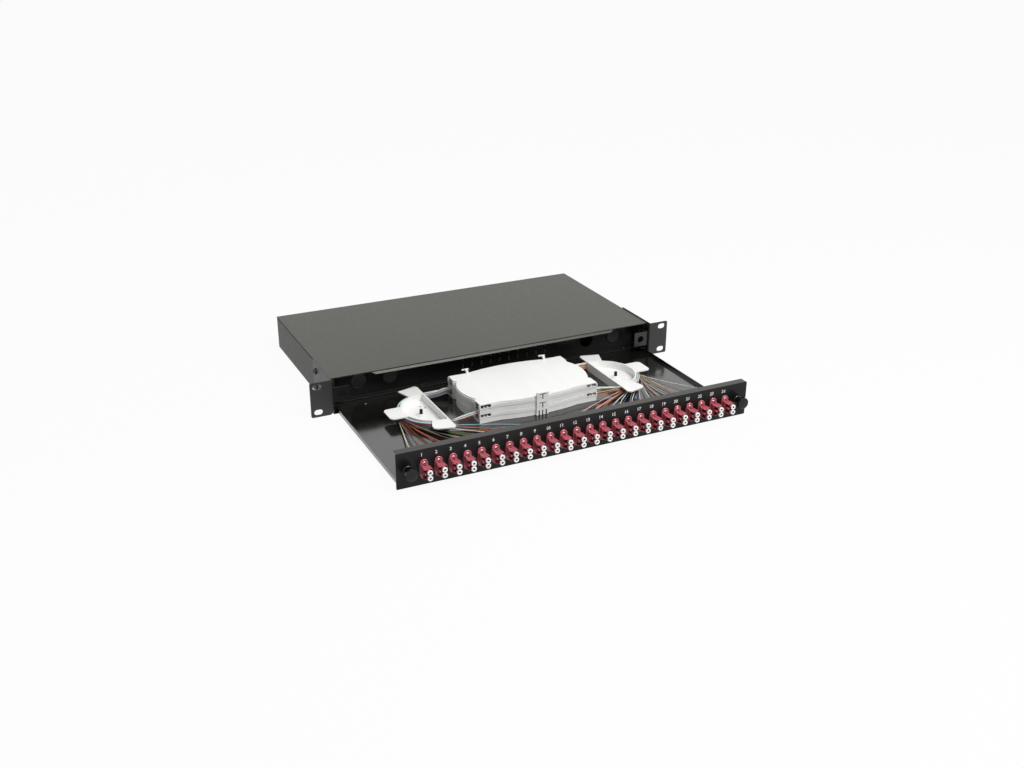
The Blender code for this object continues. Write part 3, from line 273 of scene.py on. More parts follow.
class Graph:
    """The node tree of one material, with its Principled shader and short calls to add nodes."""

    def __init__(self, name):
        self.material = bpy.data.materials.new(name)
        self.material.use_nodes = True
        self.tree = self.material.node_tree
        self.shader = self.tree.nodes["Principled BSDF"]
        self.where = self.add("ShaderNodeTexCoord").outputs["Object"]

    def add(self, kind, **values):
        node = self.tree.nodes.new(kind)
        for key, value in values.items():
            setattr(node, key, value)
        return node

    def link(self, source, target):
        self.tree.links.new(source, target)

    def noise(self, scale, detail=3.0, roughness=0.5, stretch=None):
        node = self.add("ShaderNodeTexNoise")
        node.inputs["Scale"].default_value = scale
        node.inputs["Detail"].default_value = detail
        node.inputs["Roughness"].default_value = roughness
        where = self.where
        if stretch:
            mapping = self.add("ShaderNodeMapping")
            mapping.inputs["Scale"].default_value = stretch
            self.link(where, mapping.inputs["Vector"])
            where = mapping.outputs["Vector"]
        self.link(where, node.inputs["Vector"])
        return node.outputs["Fac"]

    def ramp(self, source, low, high):
        """A colour that runs from low to high over the middle of a noise's range."""
        node = self.add("ShaderNodeValToRGB")
        stops = zip(node.color_ramp.elements, (NOISE_LOW, NOISE_HIGH), (low, high))
        for stop, position, colour in stops:
            stop.position = position
            stop.color = (*colour, 1.0)
        self.link(source, node.inputs["Fac"])
        return node.outputs["Color"]

    def spread(self, source, low, high, start=NOISE_LOW, end=NOISE_HIGH):
        """A value that runs from low to high as source runs from start to end."""
        node = self.add("ShaderNodeMapRange")
        node.inputs["From Min"].default_value = start
        node.inputs["From Max"].default_value = end
        node.inputs["To Min"].default_value = low
        node.inputs["To Max"].default_value = high
        self.link(source, node.inputs["Value"])
        return node.outputs["Result"]

    def colour(self, source):
        self.link(source, self.shader.inputs["Base Color"])

    def roughness(self, source):
        self.link(source, self.shader.inputs["Roughness"])

    def bump(self, height, strength, distance):
        node = self.add("ShaderNodeBump")
        node.inputs["Strength"].default_value = strength
        node.inputs["Distance"].default_value = distance
        self.link(height, node.inputs["Height"])
        self.link(node.outputs["Normal"], self.shader.inputs["Normal"])


def shade(colour, factor):
    return tuple(min(1.0, part * factor) for part in colour)


def powder_coat(name, colour, roughness, grain=0.10, specular=0.5, dust=0.0, coat=0.0):
    """Powder-coated steel: a fine orange peel, a slightly cloudy colour, small changes of gloss,
    and a painted sheen on the faces that look up, a lighter colour in place of their reflection."""
    graph = Graph(name)
    clouds = graph.noise(scale=9.0, detail=4.0)
    paint_colour = graph.ramp(clouds, shade(colour, 0.94), shade(colour, 1.06))
    # The share called dust paints that sheen: a lighter brownish grey on the faces that look up.
    if dust:
        geometry = graph.add("ShaderNodeNewGeometry")
        parts = graph.add("ShaderNodeSeparateXYZ")
        graph.link(geometry.outputs["Normal"], parts.inputs["Vector"])
        facing_up = graph.spread(parts.outputs["Z"], 0.0, dust, SHEEN_FROM, SHEEN_FULL)
        mix = graph.add("ShaderNodeMix", data_type="RGBA")
        mix.inputs["B"].default_value = SHEEN_COLOUR
        graph.link(facing_up, mix.inputs["Factor"])
        graph.link(paint_colour, mix.inputs["A"])
        paint_colour = mix.outputs["Result"]
    graph.colour(paint_colour)
    gloss = graph.noise(scale=140.0, detail=2.0)
    graph.roughness(graph.spread(gloss, roughness - 0.025, roughness + 0.025))
    peel = graph.noise(scale=2200.0, detail=2.0, roughness=0.6)
    graph.bump(peel, strength=grain, distance=0.0002)
    graph.shader.inputs["Specular IOR Level"].default_value = specular
    graph.shader.inputs["Coat Weight"].default_value = coat
    graph.shader.inputs["Coat Roughness"].default_value = COAT_ROUGHNESS
    return graph.material


def moulded_plastic(name, colour, roughness, grain=0.05, coat=0.0, subsurface=0.0, specular=0.5):
    """Moulded plastic: an even colour with faint flow marks and a very fine grain."""
    graph = Graph(name)
    flow = graph.noise(scale=28.0, detail=3.0, stretch=(1.0, 0.35, 1.0))
    graph.colour(graph.ramp(flow, shade(colour, 0.96), shade(colour, 1.03)))
    gloss = graph.noise(scale=320.0, detail=2.0)
    graph.roughness(graph.spread(gloss, roughness - 0.03, roughness + 0.05))
    graph.bump(graph.noise(scale=1500.0, detail=2.0), strength=grain, distance=0.0001)
    graph.shader.inputs["Specular IOR Level"].default_value = specular
    graph.shader.inputs["Coat Weight"].default_value = coat
    graph.shader.inputs["Subsurface Weight"].default_value = subsurface
    graph.shader.inputs["Subsurface Radius"].default_value = SUBSURFACE_RADIUS
    return graph.material


def bare_metal(name, colour, roughness):
    """Plated steel with a fine turned grain."""
    graph = Graph(name)
    graph.shader.inputs["Metallic"].default_value = 1.0
    graph.colour(graph.ramp(graph.noise(scale=400.0), shade(colour, 0.85), shade(colour, 1.1)))
    graph.roughness(graph.spread(graph.noise(scale=900.0), roughness - 0.06, roughness + 0.1))
    graph.bump(graph.noise(scale=3000.0), strength=0.1, distance=0.0001)
    return graph.material


def fibre_jacket(name, colour):
    """A fibre's tight jacket: satin plastic with a faint mottling along its length."""
    graph = Graph(name)
    mottling = graph.noise(scale=180.0, detail=2.0)
    graph.colour(graph.ramp(mottling, shade(colour, 0.88), shade(colour, 1.10)))
    graph.roughness(graph.spread(graph.noise(scale=700.0), 0.32, 0.46))
    graph.bump(graph.noise(scale=4000.0), strength=0.08, distance=0.0001)
    return graph.material


MATERIALS = {
    # The cover, the housing's shell, the tray and the tray's rear wall are one dark grey powder
    # coat, given as lighter and darker copies that paint in light and shade: the cover lightest,
    # the shell darker, the tray and the rear wall darkest.
    "cover": powder_coat("cover_powder_coat", (0.0345, 0.0340, 0.0235), roughness=0.34,
                         grain=0.06, specular=0.38),
    "shell": powder_coat("housing_powder_coat", (0.014, 0.0134, 0.0092), roughness=0.36,
                         grain=0.06, specular=0.12),
    "tray": powder_coat("tray_powder_coat", (0.0060, 0.0059, 0.0046), roughness=0.15,
                        grain=0.02, specular=1.0, coat=0.35),
    # The panel's faces that look up, along its top lip, get a painted sheen.
    "panel": powder_coat("panel_powder_coat", (0.007, 0.007, 0.007), roughness=0.30,
                         grain=0.04, specular=0.22, dust=0.06),
    "ear": powder_coat("ear_powder_coat", (0.026, 0.026, 0.026), roughness=0.42, specular=0.4),
    "wall": powder_coat("wall_powder_coat", (0.008, 0.008, 0.0075), roughness=0.32,
                        grain=0.04, specular=0.25),
    "rail": moulded_plastic("rail_nylon", (0.007, 0.007, 0.007), 0.45, specular=0.25),
    "nylon": moulded_plastic("black_nylon", (0.005, 0.005, 0.005), 0.16, specular=0.32),
    "rubber": moulded_plastic("black_rubber", (0.008, 0.008, 0.008), 0.6),
    # Near-black painted shade for the gaps along the cover's side edges
    "gap_shade": moulded_plastic("painted_gap_shade", (0.004, 0.004, 0.004), 0.7, specular=0.05),
    "white": moulded_plastic("white_plastic", (0.84, 0.84, 0.82), 0.36, subsurface=0.05),
    "shadow_gap": moulded_plastic("shadow_gap", (0.045, 0.045, 0.045), 0.8, specular=0.1),
    "holder": moulded_plastic("holder_rubber", (0.45, 0.46, 0.47), 0.5),
    "sleeve": moulded_plastic("sleeve_plastic", (0.62, 0.66, 0.66), 0.16, coat=0.6),
    "heather": moulded_plastic("heather_plastic", (0.46, 0.095, 0.125), 0.24, coat=0.35,
                               subsurface=0.06),
    # Near-black maroon painted shade for the adapters' slot floors, port mouths, neck and rear
    # ports, and for the screws' cross slots.
    "painted_shade": moulded_plastic("painted_port_shade", (0.006, 0.001, 0.0015), 0.6, specular=0.1),
    "cap": moulded_plastic("cap_plastic", (0.92, 0.91, 0.89), 0.30, subsurface=0.1),
    # Dark pinkish grey painted shade inside the caps' bores
    "painted_bore_shade": moulded_plastic("painted_bore_shade", (0.20, 0.13, 0.14), 0.5),
    "cap_barrel": moulded_plastic("cap_barrel", (0.42, 0.22, 0.24), 0.30),
    "connector": moulded_plastic("connector_plastic", (0.40, 0.07, 0.14), 0.35),
    "boot": moulded_plastic("boot_rubber", (0.70, 0.70, 0.68), 0.5),
    "print": moulded_plastic("white_print", (0.74, 0.74, 0.74), 0.5),
    "screw": bare_metal("plated_screw", (0.52, 0.30, 0.31), 0.38),
    "black_screw": bare_metal("black_screw", (0.06, 0.06, 0.06), 0.35),
}
FIBRE_MATERIALS = [fibre_jacket("fibre_" + name, rgb) for name, rgb in FIBRE_COLOURS.items()]


def add_object(name, data):
    made = bpy.data.objects.new(name, data)
    bpy.context.scene.collection.objects.link(made)
    return made


def add_piece(name, data, body, location=(0.0, 0.0, 0.0), turn=(0.0, 0.0, 0.0), scale=(1, 1, 1)):
    """A new piece, with its place settled before it rides on its body."""
    piece = add_object(name, data)
    piece.location = location
    piece.rotation_euler = turn
    piece.scale = scale
    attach(piece, body)
    return piece


def to_mesh(shape, name, *materials):
    """The mesh of a bmesh, with its materials in the order of their numbers on the faces."""
    bmesh.ops.recalc_face_normals(shape, faces=shape.faces)
    mesh = bpy.data.meshes.new(name)
    shape.to_mesh(mesh)
    shape.free()
    mesh.shade_smooth()
    mesh.set_sharp_from_angle(angle=SMOOTH_ANGLE)
    for material in materials:
        mesh.materials.append(MATERIALS[material])
    return mesh


def finish_form(shape, faces, bevel, material_index):
    """Rounds the edges of a form in a bmesh, and gives all its faces one material."""
    bmesh.ops.recalc_face_normals(shape, faces=faces)
    if bevel:
        edges = list(dict.fromkeys(edge for face in faces for edge in face.edges))
        made = bmesh.ops.bevel(shape, geom=edges, offset=bevel, segments=EDGE_SEGMENTS,
                               profile=0.5, affect="EDGES")
        faces = made["faces"] + [face for face in faces if face.is_valid]
    for face in faces:
        face.material_index = material_index


def add_block(shape, x_range, y_range, z_range, bevel=0.0, material_index=0):
    """A block with rounded edges, added to a bmesh."""
    corners = [(x, y, z) for x in x_range for y in y_range for z in z_range]
    verts = [shape.verts.new(corner) for corner in corners]
    quads = ((0, 1, 3, 2), (4, 6, 7, 5), (0, 4, 5, 1), (2, 3, 7, 6), (0, 2, 6, 4), (1, 5, 7, 3))
    faces = [shape.faces.new([verts[index] for index in quad]) for quad in quads]
    finish_form(shape, faces, bevel, material_index)


def add_prism(shape, outline, low, high, bevel):
    """A prism along Z with rounded edges, added to a bmesh. The outline holds X and Y."""
    rings = [[shape.verts.new((x, y, z)) for x, y in outline] for z in (low, high)]
    faces = [shape.faces.new(rings[0]), shape.faces.new(rings[1])]
    faces += join_rings(shape, *rings)
    finish_form(shape, faces, bevel, 0)


def join_rings(shape, first, second):
    """The faces between two rings of the same number of points."""
    faces = []
    for step in range(len(first)):
        after = (step + 1) % len(first)
        corners = (first[step], first[after], second[after], second[step])
        faces.append(shape.faces.new(corners))
    return faces


def add_turned(shape, profile, centre, axis="Y", steps=24, material_index=0):
    """A turned form, added to a bmesh. The profile's points are (radius, distance along the axis),
    and a radius of 0 closes the form in a point."""
    rings = []
    for radius, along in profile:
        ring = []
        for step in range(steps if radius else 1):
            turn = 2 * math.pi * step / steps
            a, b = radius * math.cos(turn), radius * math.sin(turn)
            offset = {"X": (along, a, b), "Y": (a, along, b), "Z": (a, b, along)}[axis]
            ring.append(shape.verts.new(Vector(centre) + Vector(offset)))
        rings.append(ring)
    for first, second in zip(rings, rings[1:]):
        for step in range(steps):
            corners = (first[step % len(first)], first[(step + 1) % len(first)],
                       second[(step + 1) % len(second)], second[step % len(second)])
            face = shape.faces.new(list(dict.fromkeys(corners)))
            face.material_index = material_index


def soften(node, width):
    """Rounds the sharp edges of a solid a little, as a real press or mould leaves them."""
    mesh = node.data
    if "custom_normal" in mesh.attributes:
        mesh.attributes.remove(mesh.attributes["custom_normal"])
    mesh.shade_smooth()
    weld = node.modifiers.new("weld", "WELD")
    weld.merge_threshold = WELD_DISTANCE
    bevel = node.modifiers.new("bevel", "BEVEL")
    bevel.width = width
    bevel.segments = EDGE_SEGMENTS
    bevel.limit_method = "ANGLE"
    bevel.angle_limit = SOFTEN_ANGLE
    bevel.harden_normals = False
    weighted = node.modifiers.new("weighted", "WEIGHTED_NORMAL")
    weighted.keep_sharp = False
    weighted.weight = 100


def paint(node_name, material, soft):
    node = NODES[node_name]
    node.data.materials.clear()
    node.data.materials.append(MATERIALS[material])
    if soft:
        soften(node, soft)


def dress_solids():
    """Finishes for the solids that show as they are."""
    for name, finish in FINISHES.items():
        paint(name, *finish)
    for name, finish in PAIR_FINISHES.items():
        for _, hand in SIDES:
            paint(f"{name}_{hand}", *finish)


def adapter_frame(number):
    """The place of an adapter: its middle line on the panel's front face."""
    low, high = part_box(f"adapter_{number:02d}")
    panel_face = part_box("front_panel")[0].y
    return Vector(((low.x + high.x) / 2, panel_face, (low.z + high.z) / 2))


def add_flange(shape):
    """The adapter's flange, which has round ends with a raised rim round each screw."""
    rings = []
    for depth, inset in FLANGE_RINGS:
        radius = FLANGE_HALF_WIDTH - inset
        ring = []
        for middle, start in ((SCREW_HEIGHT, 0.0), (-SCREW_HEIGHT, math.pi)):
            for step in range(FLANGE_STEPS + 1):
                turn = start + math.pi * step / FLANGE_STEPS
                corner = (radius * math.cos(turn), depth, middle + radius * math.sin(turn))
                ring.append(shape.verts.new(corner))
        rings.append(ring)
    for first, second in zip(rings, rings[1:]):
        join_rings(shape, first, second)
    shape.faces.new(rings[0])
    shape.faces.new(rings[-1])
    rim = ((0.0001, -0.0012), (0.0001, -0.0018), (0.0004, -0.0021), (0.0009, -0.0021),
           (0.0012, -0.0018), (0.0012, -0.0012))
    profile = [(FLANGE_HALF_WIDTH - inset, depth) for inset, depth in rim]
    for level in (-1, 1):
        add_turned(shape, profile, (0.0, 0.0, level * SCREW_HEIGHT), steps=28)


def add_hood(shape):
    """The adapter's neck, which widens into a hood, and a latch slot for each port in the hood's
    left side. The slots' floors, the ports' mouths and a patch on top of the neck are dark plates
    of painted shade."""
    neck, hood, height = NECK_HALF_WIDTH, HOOD_HALF_WIDTH, HOOD_HALF_HEIGHT
    outline = [(-neck, NECK_BACK), (-neck, NECK_FRONT), (-hood, HOOD_BACK), (-hood, LATCH_BACK),
               (LATCH_FLOOR, LATCH_BACK), (LATCH_FLOOR, HOOD_FRONT), (hood, HOOD_FRONT),
               (hood, HOOD_BACK), (neck, NECK_FRONT), (neck, NECK_BACK)]
    add_prism(shape, outline, -height, height, bevel=0.0003)
    port = PORT_PITCH / 2
    near, far = port - LATCH_HALF_HEIGHT, port + LATCH_HALF_HEIGHT
    for heights in ((far, height), (-near, near), (-height, -far)):
        add_block(shape, (-hood, LATCH_FLOOR + 0.0002), (HOOD_FRONT, LATCH_BACK + 0.0003),
                  heights, bevel=0.00018)
    # Dark plates of painted shade on the latch slots' floors and in the ports' mouths
    for middle in (-port, port):
        add_block(shape, (LATCH_FLOOR - SHADE_SKIN, LATCH_FLOOR + 0.0002),
                  (HOOD_FRONT + 0.0003, LATCH_BACK),
                  (middle - LATCH_HALF_HEIGHT, middle + LATCH_HALF_HEIGHT), material_index=1)
        add_block(shape, (LATCH_FLOOR, 0.0040), (HOOD_FRONT - SHADE_SKIN, HOOD_FRONT + 0.0003),
                  (middle - MOUTH_HALF_HEIGHT, middle + MOUTH_HALF_HEIGHT), material_index=1)
    # A dark patch of painted shade on top of the neck, between the flange and the hood
    add_block(shape, (-0.0011, 0.0011), (-0.0052, -0.0034), (0.0050, height + SHADE_SKIN),
              material_index=1)


def adapter_shell_mesh():
    """One adapter's moulding: the flange and the hood in front, and the half behind the panel."""
    shape = bmesh.new()
    add_flange(shape)
    add_hood(shape)
    add_block(shape, (-0.0044, 0.0044), (0.0012, 0.0160), (-0.0062, 0.0062), bevel=0.0004)
    # A dark plate of painted shade at the rear end, for the shade in the rear ports
    add_block(shape, (-0.0040, 0.0040), (0.0150, 0.0164), (-0.0055, 0.0055), material_index=1)
    return to_mesh(shape, "adapter_shell", "heather", "painted_shade")


def adapter_screw_mesh():
    """The two pan-head screws of one adapter, with a cross slot in each head."""
    shape = bmesh.new()
    head = [(0.0020, -0.0015), (0.0020, -0.0018), (0.0016, -0.0022), (0.0008, -0.0025),
            (0.0, -0.0026)]
    for middle in (-SCREW_HEIGHT, SCREW_HEIGHT):
        add_turned(shape, head, (0.0, 0.0, middle), steps=18)
        # Each cross slot is a dark plate of painted shade.
        for length, width in ((0.0010, 0.0002), (0.0002, 0.0010)):
            add_block(shape, (-length, length), (-0.0026 - SHADE_SKIN, -0.0022),
                      (middle - width, middle + width), material_index=1)
    return to_mesh(shape, "adapter_screws", "screw", "painted_shade")


def cap_mesh():
    """The two dust caps of one adapter: a barrel, and a head with a rounded edge and a bore,
    whose inside is painted darker as shade.
    """
    shape = bmesh.new()
    radius = CAP_DIAMETER / 2
    barrel = [(radius * 0.90, -0.0143), (radius * 0.90, -0.0168)]
    head = [(radius * 0.90, -0.0168), (radius, -0.0171), (radius, -0.0181),
            (radius * 0.97, -0.0184), (radius * 0.90, -0.0185), (radius * 0.52, -0.0185),
            (radius * 0.46, -0.0183), (radius * 0.43, -0.0179)]
    bore = [(radius * 0.43, -0.0179), (radius * 0.42, -0.0168), (0.0, -0.0168)]
    for middle in (-PORT_PITCH / 2, PORT_PITCH / 2):
        centre = (0.0, 0.0, middle)
        add_turned(shape, barrel, centre, material_index=2)
        add_turned(shape, head, centre)
        add_turned(shape, bore, centre, material_index=1)
    return to_mesh(shape, "dust_caps", "cap", "painted_bore_shade", "cap_barrel")


def connector_mesh():
    """The two connectors behind one adapter: a square housing with a latch, and a ribbed boot."""
    shape = bmesh.new()
    profile = []
    for rib in range(BOOT_RIBS):
        start = BOOT_START + rib * BOOT_RIB_PITCH
        radius = BOOT_RADIUS - BOOT_TAPER * rib / BOOT_RIBS
        groove = radius * BOOT_GROOVE
        profile += [(radius, start), (radius, start + 0.0011), (groove, start + 0.0012),
                    (groove, start + 0.0018)]
    profile += [(BOOT_TIP_RADIUS, BOOT_TIP - 0.0005), (BOOT_TIP_RADIUS, BOOT_TIP), (0.0, BOOT_TIP)]
    for middle in (-PORT_PITCH / 2, PORT_PITCH / 2):
        add_block(shape, (-CONNECTOR_HALF, CONNECTOR_HALF), (0.0155, 0.0270),
                  (middle - CONNECTOR_HALF, middle + CONNECTOR_HALF), bevel=0.0004)
        add_block(shape, (-0.0031, -0.0022), (0.0165, 0.0240), (middle - 0.0009, middle + 0.0009),
                  bevel=0.0003)
        add_turned(shape, profile, (0.0, 0.0, middle), steps=14, material_index=1)
    return to_mesh(shape, "connectors", "connector", "boot")


def dress_adapters():
    shell, screws, caps = adapter_shell_mesh(), adapter_screw_mesh(), cap_mesh()
    connectors = connector_mesh()
    for number in range(1, ADAPTER_COUNT + 1):
        where = adapter_frame(number)
        tail = f"{number:02d}"
        piece = add_piece("adapter_moulding_" + tail, shell, "drawer", where)
        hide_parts("adapter_" + tail)
        add_piece("adapter_screws_" + tail, screws, "drawer", where)
        add_piece("dust_caps_" + tail, caps, "drawer", where)
        add_piece("connectors_" + tail, connectors, "drawer", where)


def add_numbers():
    """The port numbers printed above the adapters."""
    upright = (math.radians(90), 0.0, 0.0)
    for number in range(1, ADAPTER_COUNT + 1):
        name = f"number_{number:02d}"
        text = bpy.data.curves.new(name, "FONT")
        text.body = str(number)
        text.size = NUMBER_SIZE
        text.align_x = "CENTER"
        text.extrude = NUMBER_DEPTH
        text.offset = NUMBER_STROKE
        text.resolution_u = 3
        text.materials.append(MATERIALS["print"])
        where = adapter_frame(number)
        location = (where.x - NUMBER_SHIFT, where.y - NUMBER_GAP, NUMBER_Z)
        add_piece(name, text, "drawer", location, turn=upright)


def smooth_path(points):
    """Evenly spaced points along a Catmull-Rom curve through the route."""
    route = [Vector(point) for point in points]
    padded = [2 * route[0] - route[1]] + route + [2 * route[-1] - route[-2]]
    path = []
    for before, start, end, after in zip(padded, padded[1:], padded[2:], padded[3:]):
        steps = max(1, round((end - start).length / PATH_SPACING))
        for step in range(steps):
            t = step / steps
            path.append(0.5 * (2 * start + (end - before) * t
                               + (2 * before - 5 * start + 4 * end - after) * t * t
                               + (3 * start - before - 3 * end + after) * t * t * t))
    path.append(route[-1])
    return path


def drum_point(angle, radius, height):
    """A point beside the right drum, at an angle of 0 on its outer side and -90 in front of it."""
    turn = math.radians(angle)
    return (DRUM_X + radius * math.cos(turn), DRUM_Y + radius * math.sin(turn), height)


def leave_angle(x, y, radius):
    """Where a fibre that runs round the drum leaves it, to go straight to a point in front."""
    reach = Vector((x - DRUM_X, y - DRUM_Y))
    return math.degrees(math.atan2(reach.y, reach.x) + math.acos(radius / reach.length))


def port_approach(column, port_height, height, side_y):
    """Three points from a cassette's port to the drum, between which a strand sinks to its
    height at the drum."""
    spread = PORT_COLUMN_STEP * (column - 2)
    return [(0.0745, side_y + spread, port_height),
            (0.0830, side_y + 1.1 * spread, port_height + 0.0006),
            (0.0950, side_y + 1.2 * spread, 0.6 * port_height + 0.4 * height)]


def fibre_route(x, level, index, wobble, early):
    """A pigtail's route on the right side, from the cassette's rear port to a connector's boot.

    The fibres lie five high beside the drum. Those of the outer connectors leave it first, so
    they lie on the outside. They stay low and nearly straight, and turn up into the boots close
    to the panel, or rise earlier by the given share."""
    layer, row = FIBRE_LAYERS - 1 - index // FIBRE_ROWS, index % FIBRE_ROWS
    radius = DRUM_RADIUS + FIBRE_LAYER_STEP * (1 + layer)
    height = FIBRE_LOWEST + FIBRE_ROW_STEP * row
    port_height = PORT_LOWER + PORT_ROW_STEP * (row - 2)
    route = port_approach(layer, port_height, height, PORT_REAR_Y + 0.0022)
    route[0] = (route[0][0], PORT_REAR_Y + PORT_COLUMN_STEP * (layer - 2), port_height)
    end = Vector((x, BOOT_END_Y - 0.0015, ADAPTER_Z + level * PORT_PITCH / 2))
    slant = max(-1.0, min(1.0, (DRUM_X + DRUM_RADIUS - x) / FAN_REACH))
    inwards, outwards = max(0.0, slant), min(0.0, slant)
    low = FAN_LOWEST + FAN_ROW_STEP * row
    aim = Vector((x + 0.045 * outwards, end.y + 0.018 + 0.018 * inwards, low))
    leave = leave_angle(aim.x, aim.y, radius)
    angle = FIBRE_START_ANGLE
    while angle > leave + DRUM_STEP / 2:
        uneven = FIBRE_UNEVENNESS * math.sin(angle * 0.13 + index)
        route.append(drum_point(angle, radius + uneven, height))
        angle -= DRUM_STEP
    start = Vector(drum_point(leave, radius, height))
    ahead = aim - start
    across = Vector((ahead.y, -ahead.x, 0.0)).normalized() * FIBRE_SWAY * wobble
    first = start + 0.5 * ahead + across
    first.z = low + early * (0.5 * end.z - low)
    second = Vector((x + 0.006 * inwards + 0.030 * outwards, end.y + 0.020, 0.0)) + 0.6 * across
    second.z = low + 0.0015 + early * (end.z - low - 0.002)
    return route + [tuple(point) for point in interpolate_bezier(start, first, second, end, 12)]


def loop_route(index, front_heights):
    """A loop's strand on the right side, from the cassette's front port round the drum to its
    rear port."""
    column, row = index % STRAND_COLUMNS, index // STRAND_COLUMNS
    height = STRAND_HIGHEST - STRAND_ROW_STEP * row
    radius = DRUM_RADIUS + 0.0011 + STRAND_COLUMN_STEP * column
    bow = 0.0016
    route = port_approach(1.5 * column + 0.5, front_heights[row], height, PORT_FRONT_Y - bow)
    route[0] = (route[0][0], route[0][1] + bow, route[0][2])
    rear_height = PORT_LOWER + PORT_ROW_STEP * (1 - row)
    rear = port_approach(column + 1, rear_height, height, PORT_REAR_Y + 0.0040)
    angle = STRAND_START_ANGLE
    while angle < STRAND_END_ANGLE:
        route.append(drum_point(angle, radius, height))
        angle += DRUM_STEP
    return route + rear[::-1]


def add_bundle(name, routes, diameter, nodes=()):
    """One curve object that holds several fibres, each with its own jacket colour."""
    curve = bpy.data.curves.new(name, "CURVE")
    curve.dimensions = "3D"
    curve.bevel_depth = diameter / 2
    curve.bevel_resolution = CURVE_RESOLUTION
    curve.use_fill_caps = True
    for material in FIBRE_MATERIALS:
        curve.materials.append(material)
    for route, material_index in routes:
        path = smooth_path(route)
        spline = curve.splines.new("POLY")
        spline.points.add(len(path) - 1)
        for point, where in zip(spline.points, path):
            point.co = (*place(*where), 1.0)
        spline.use_smooth = True
        spline.material_index = material_index
    piece = add_piece(name, curve, "drawer")
    for node in nodes:
        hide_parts(node)


def colour_index(name):
    return list(FIBRE_COLOURS).index(name)


def mirrored(side, route):
    return [(side * x, y, z) for x, y, z in route]


def dress_pigtails():
    """The pigtails: 24 fibres and the loop's strands on each side."""
    chance = random.Random(FAN_SEED)
    groups = {"fan_outer": range(0, 4), "fan_middle": range(4, 8), "fan_inner": range(8, 12)}
    for side, hand in SIDES:
        for group, members in groups.items():
            fibres = []
            for member in members:
                number = 1 + member if side < 0 else ADAPTER_COUNT - member
                x = abs(adapter_frame(number).x)
                for level in (-1, 1):
                    index = 2 * member + (1 - level) // 2
                    wobble = chance.uniform(-1.0, 1.0)
                    early = 0.9 if (hand, index) == ("right", 0) else 0.0
                    route = fibre_route(x, level, index, wobble, early)
                    colour = colour_index(FAN_COLOURS[hand][index])
                    fibres.append((mirrored(side, route), colour))
            add_bundle(f"fibres_{group}_{hand}", fibres, FIBRE_DIAMETER,
                       [f"pigtail_{group}_{hand}"])
        heights = LOOP_PORT_HEIGHTS[hand]
        strands = [(mirrored(side, loop_route(index, heights)), colour_index(colour))
                   for index, colour in enumerate(LOOP_COLOURS[hand])]
        add_bundle("loop_strands_" + hand, strands, STRAND_DIAMETER, ["pigtail_loop_" + hand])


def dress_spools():
    """Each spool's stud, which stands in a white sleeve, and dark discs of painted shade at the
    bottoms of the two eyes.
    """
    rod = [(0.0019, 0.0005), (0.0019, 0.0092), (0.0016, 0.0098), (0.0008, 0.0100), (0.0, 0.0100)]
    sleeve = [(0.0036, 0.0029), (0.0035, 0.0041), (0.0031, 0.0045), (0.0020, 0.0045),
              (0.0019, 0.0041)]
    eye = [(0.0, EYE_FLOOR), (EYE_RADIUS, EYE_FLOOR), (EYE_RADIUS, EYE_FOOT), (0.0, EYE_FOOT)]
    for side, hand in SIDES:
        low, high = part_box("spool_stud_" + hand)
        middle = (low + high) / 2
        shape = bmesh.new()
        add_turned(shape, rod, (0.0, 0.0, 0.0), axis="Z", steps=20)
        add_turned(shape, sleeve, (0.0, 0.0, 0.0), axis="Z", material_index=1)
        mesh = to_mesh(shape, "stud_" + hand, "nylon", "white")
        stud = add_piece("stud_" + hand, mesh, "drawer", (middle.x, middle.y, low.z))
        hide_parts("spool_stud_" + hand)
        shape = bmesh.new()
        for inwards, back in SPOOL_EYES:
            x = middle.x + side * (inwards - SPOOL_FLAT_WALL)
            add_turned(shape, eye, (x, middle.y + back, low.z), axis="Z", steps=16)
        add_piece("spool_eye_shades_" + hand, to_mesh(shape, "spool_eye_shades_" + hand, "nylon"), "drawer")


def add_clip_shadows():
    """Dark floors for the slots in the clip blocks: a T in the lid and the upper cassette, and
    three prong slots in the lower one."""
    floor_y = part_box("cassette_lid")[0].y + CLIP_DEPTH
    depth = (floor_y - 0.0008, floor_y + 0.0001)
    upper_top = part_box("cassette_upper")[1].z
    feet = {"cassette_lid": upper_top + 0.0003, "cassette_upper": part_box("cassette_upper")[0].z,
            "cassette_lower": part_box("cassette_lower")[0].z}
    for node, foot in feet.items():
        shape = bmesh.new()
        if node == "cassette_lower":
            for middle in CLIP_PRONGS:
                add_block(shape, (middle - CLIP_PRONG_HALF, middle + CLIP_PRONG_HALF), depth,
                          (foot, foot + CLIP_PRONG_HEIGHT))
        else:
            for half, low, high in CLIP_TEE:
                add_block(shape, (-half, half), depth, (foot + low, foot + high))
        if node != "cassette_lid":
            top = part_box(node)[1].z
            add_block(shape, (-CLIP_NOTCH_HALF, CLIP_NOTCH_HALF), depth,
                      (top - CLIP_NOTCH_HEIGHT, top))
        body = "cassette_lid" if node == "cassette_lid" else "drawer"
        add_piece("clip_slots_" + node, to_mesh(shape, "clip_slots_" + node, "shadow_gap"), body)


def sleeve_mesh():
    """The splice protectors side by side, each a clear sleeve with rounded ends."""
    shape = bmesh.new()
    profile = [(0.0, -0.0200), (0.0007, -0.0200), (0.0011, -0.0196), (0.0011, 0.0196),
               (0.0007, 0.0200), (0.0, 0.0200)]
    for number in range(SLEEVE_COUNT):
        middle = (number - (SLEEVE_COUNT - 1) / 2) * SLEEVE_PITCH
        add_turned(shape, profile, (0.0, middle, 0.0), axis="X", steps=12)
    return to_mesh(shape, "splice_sleeves", "sleeve")


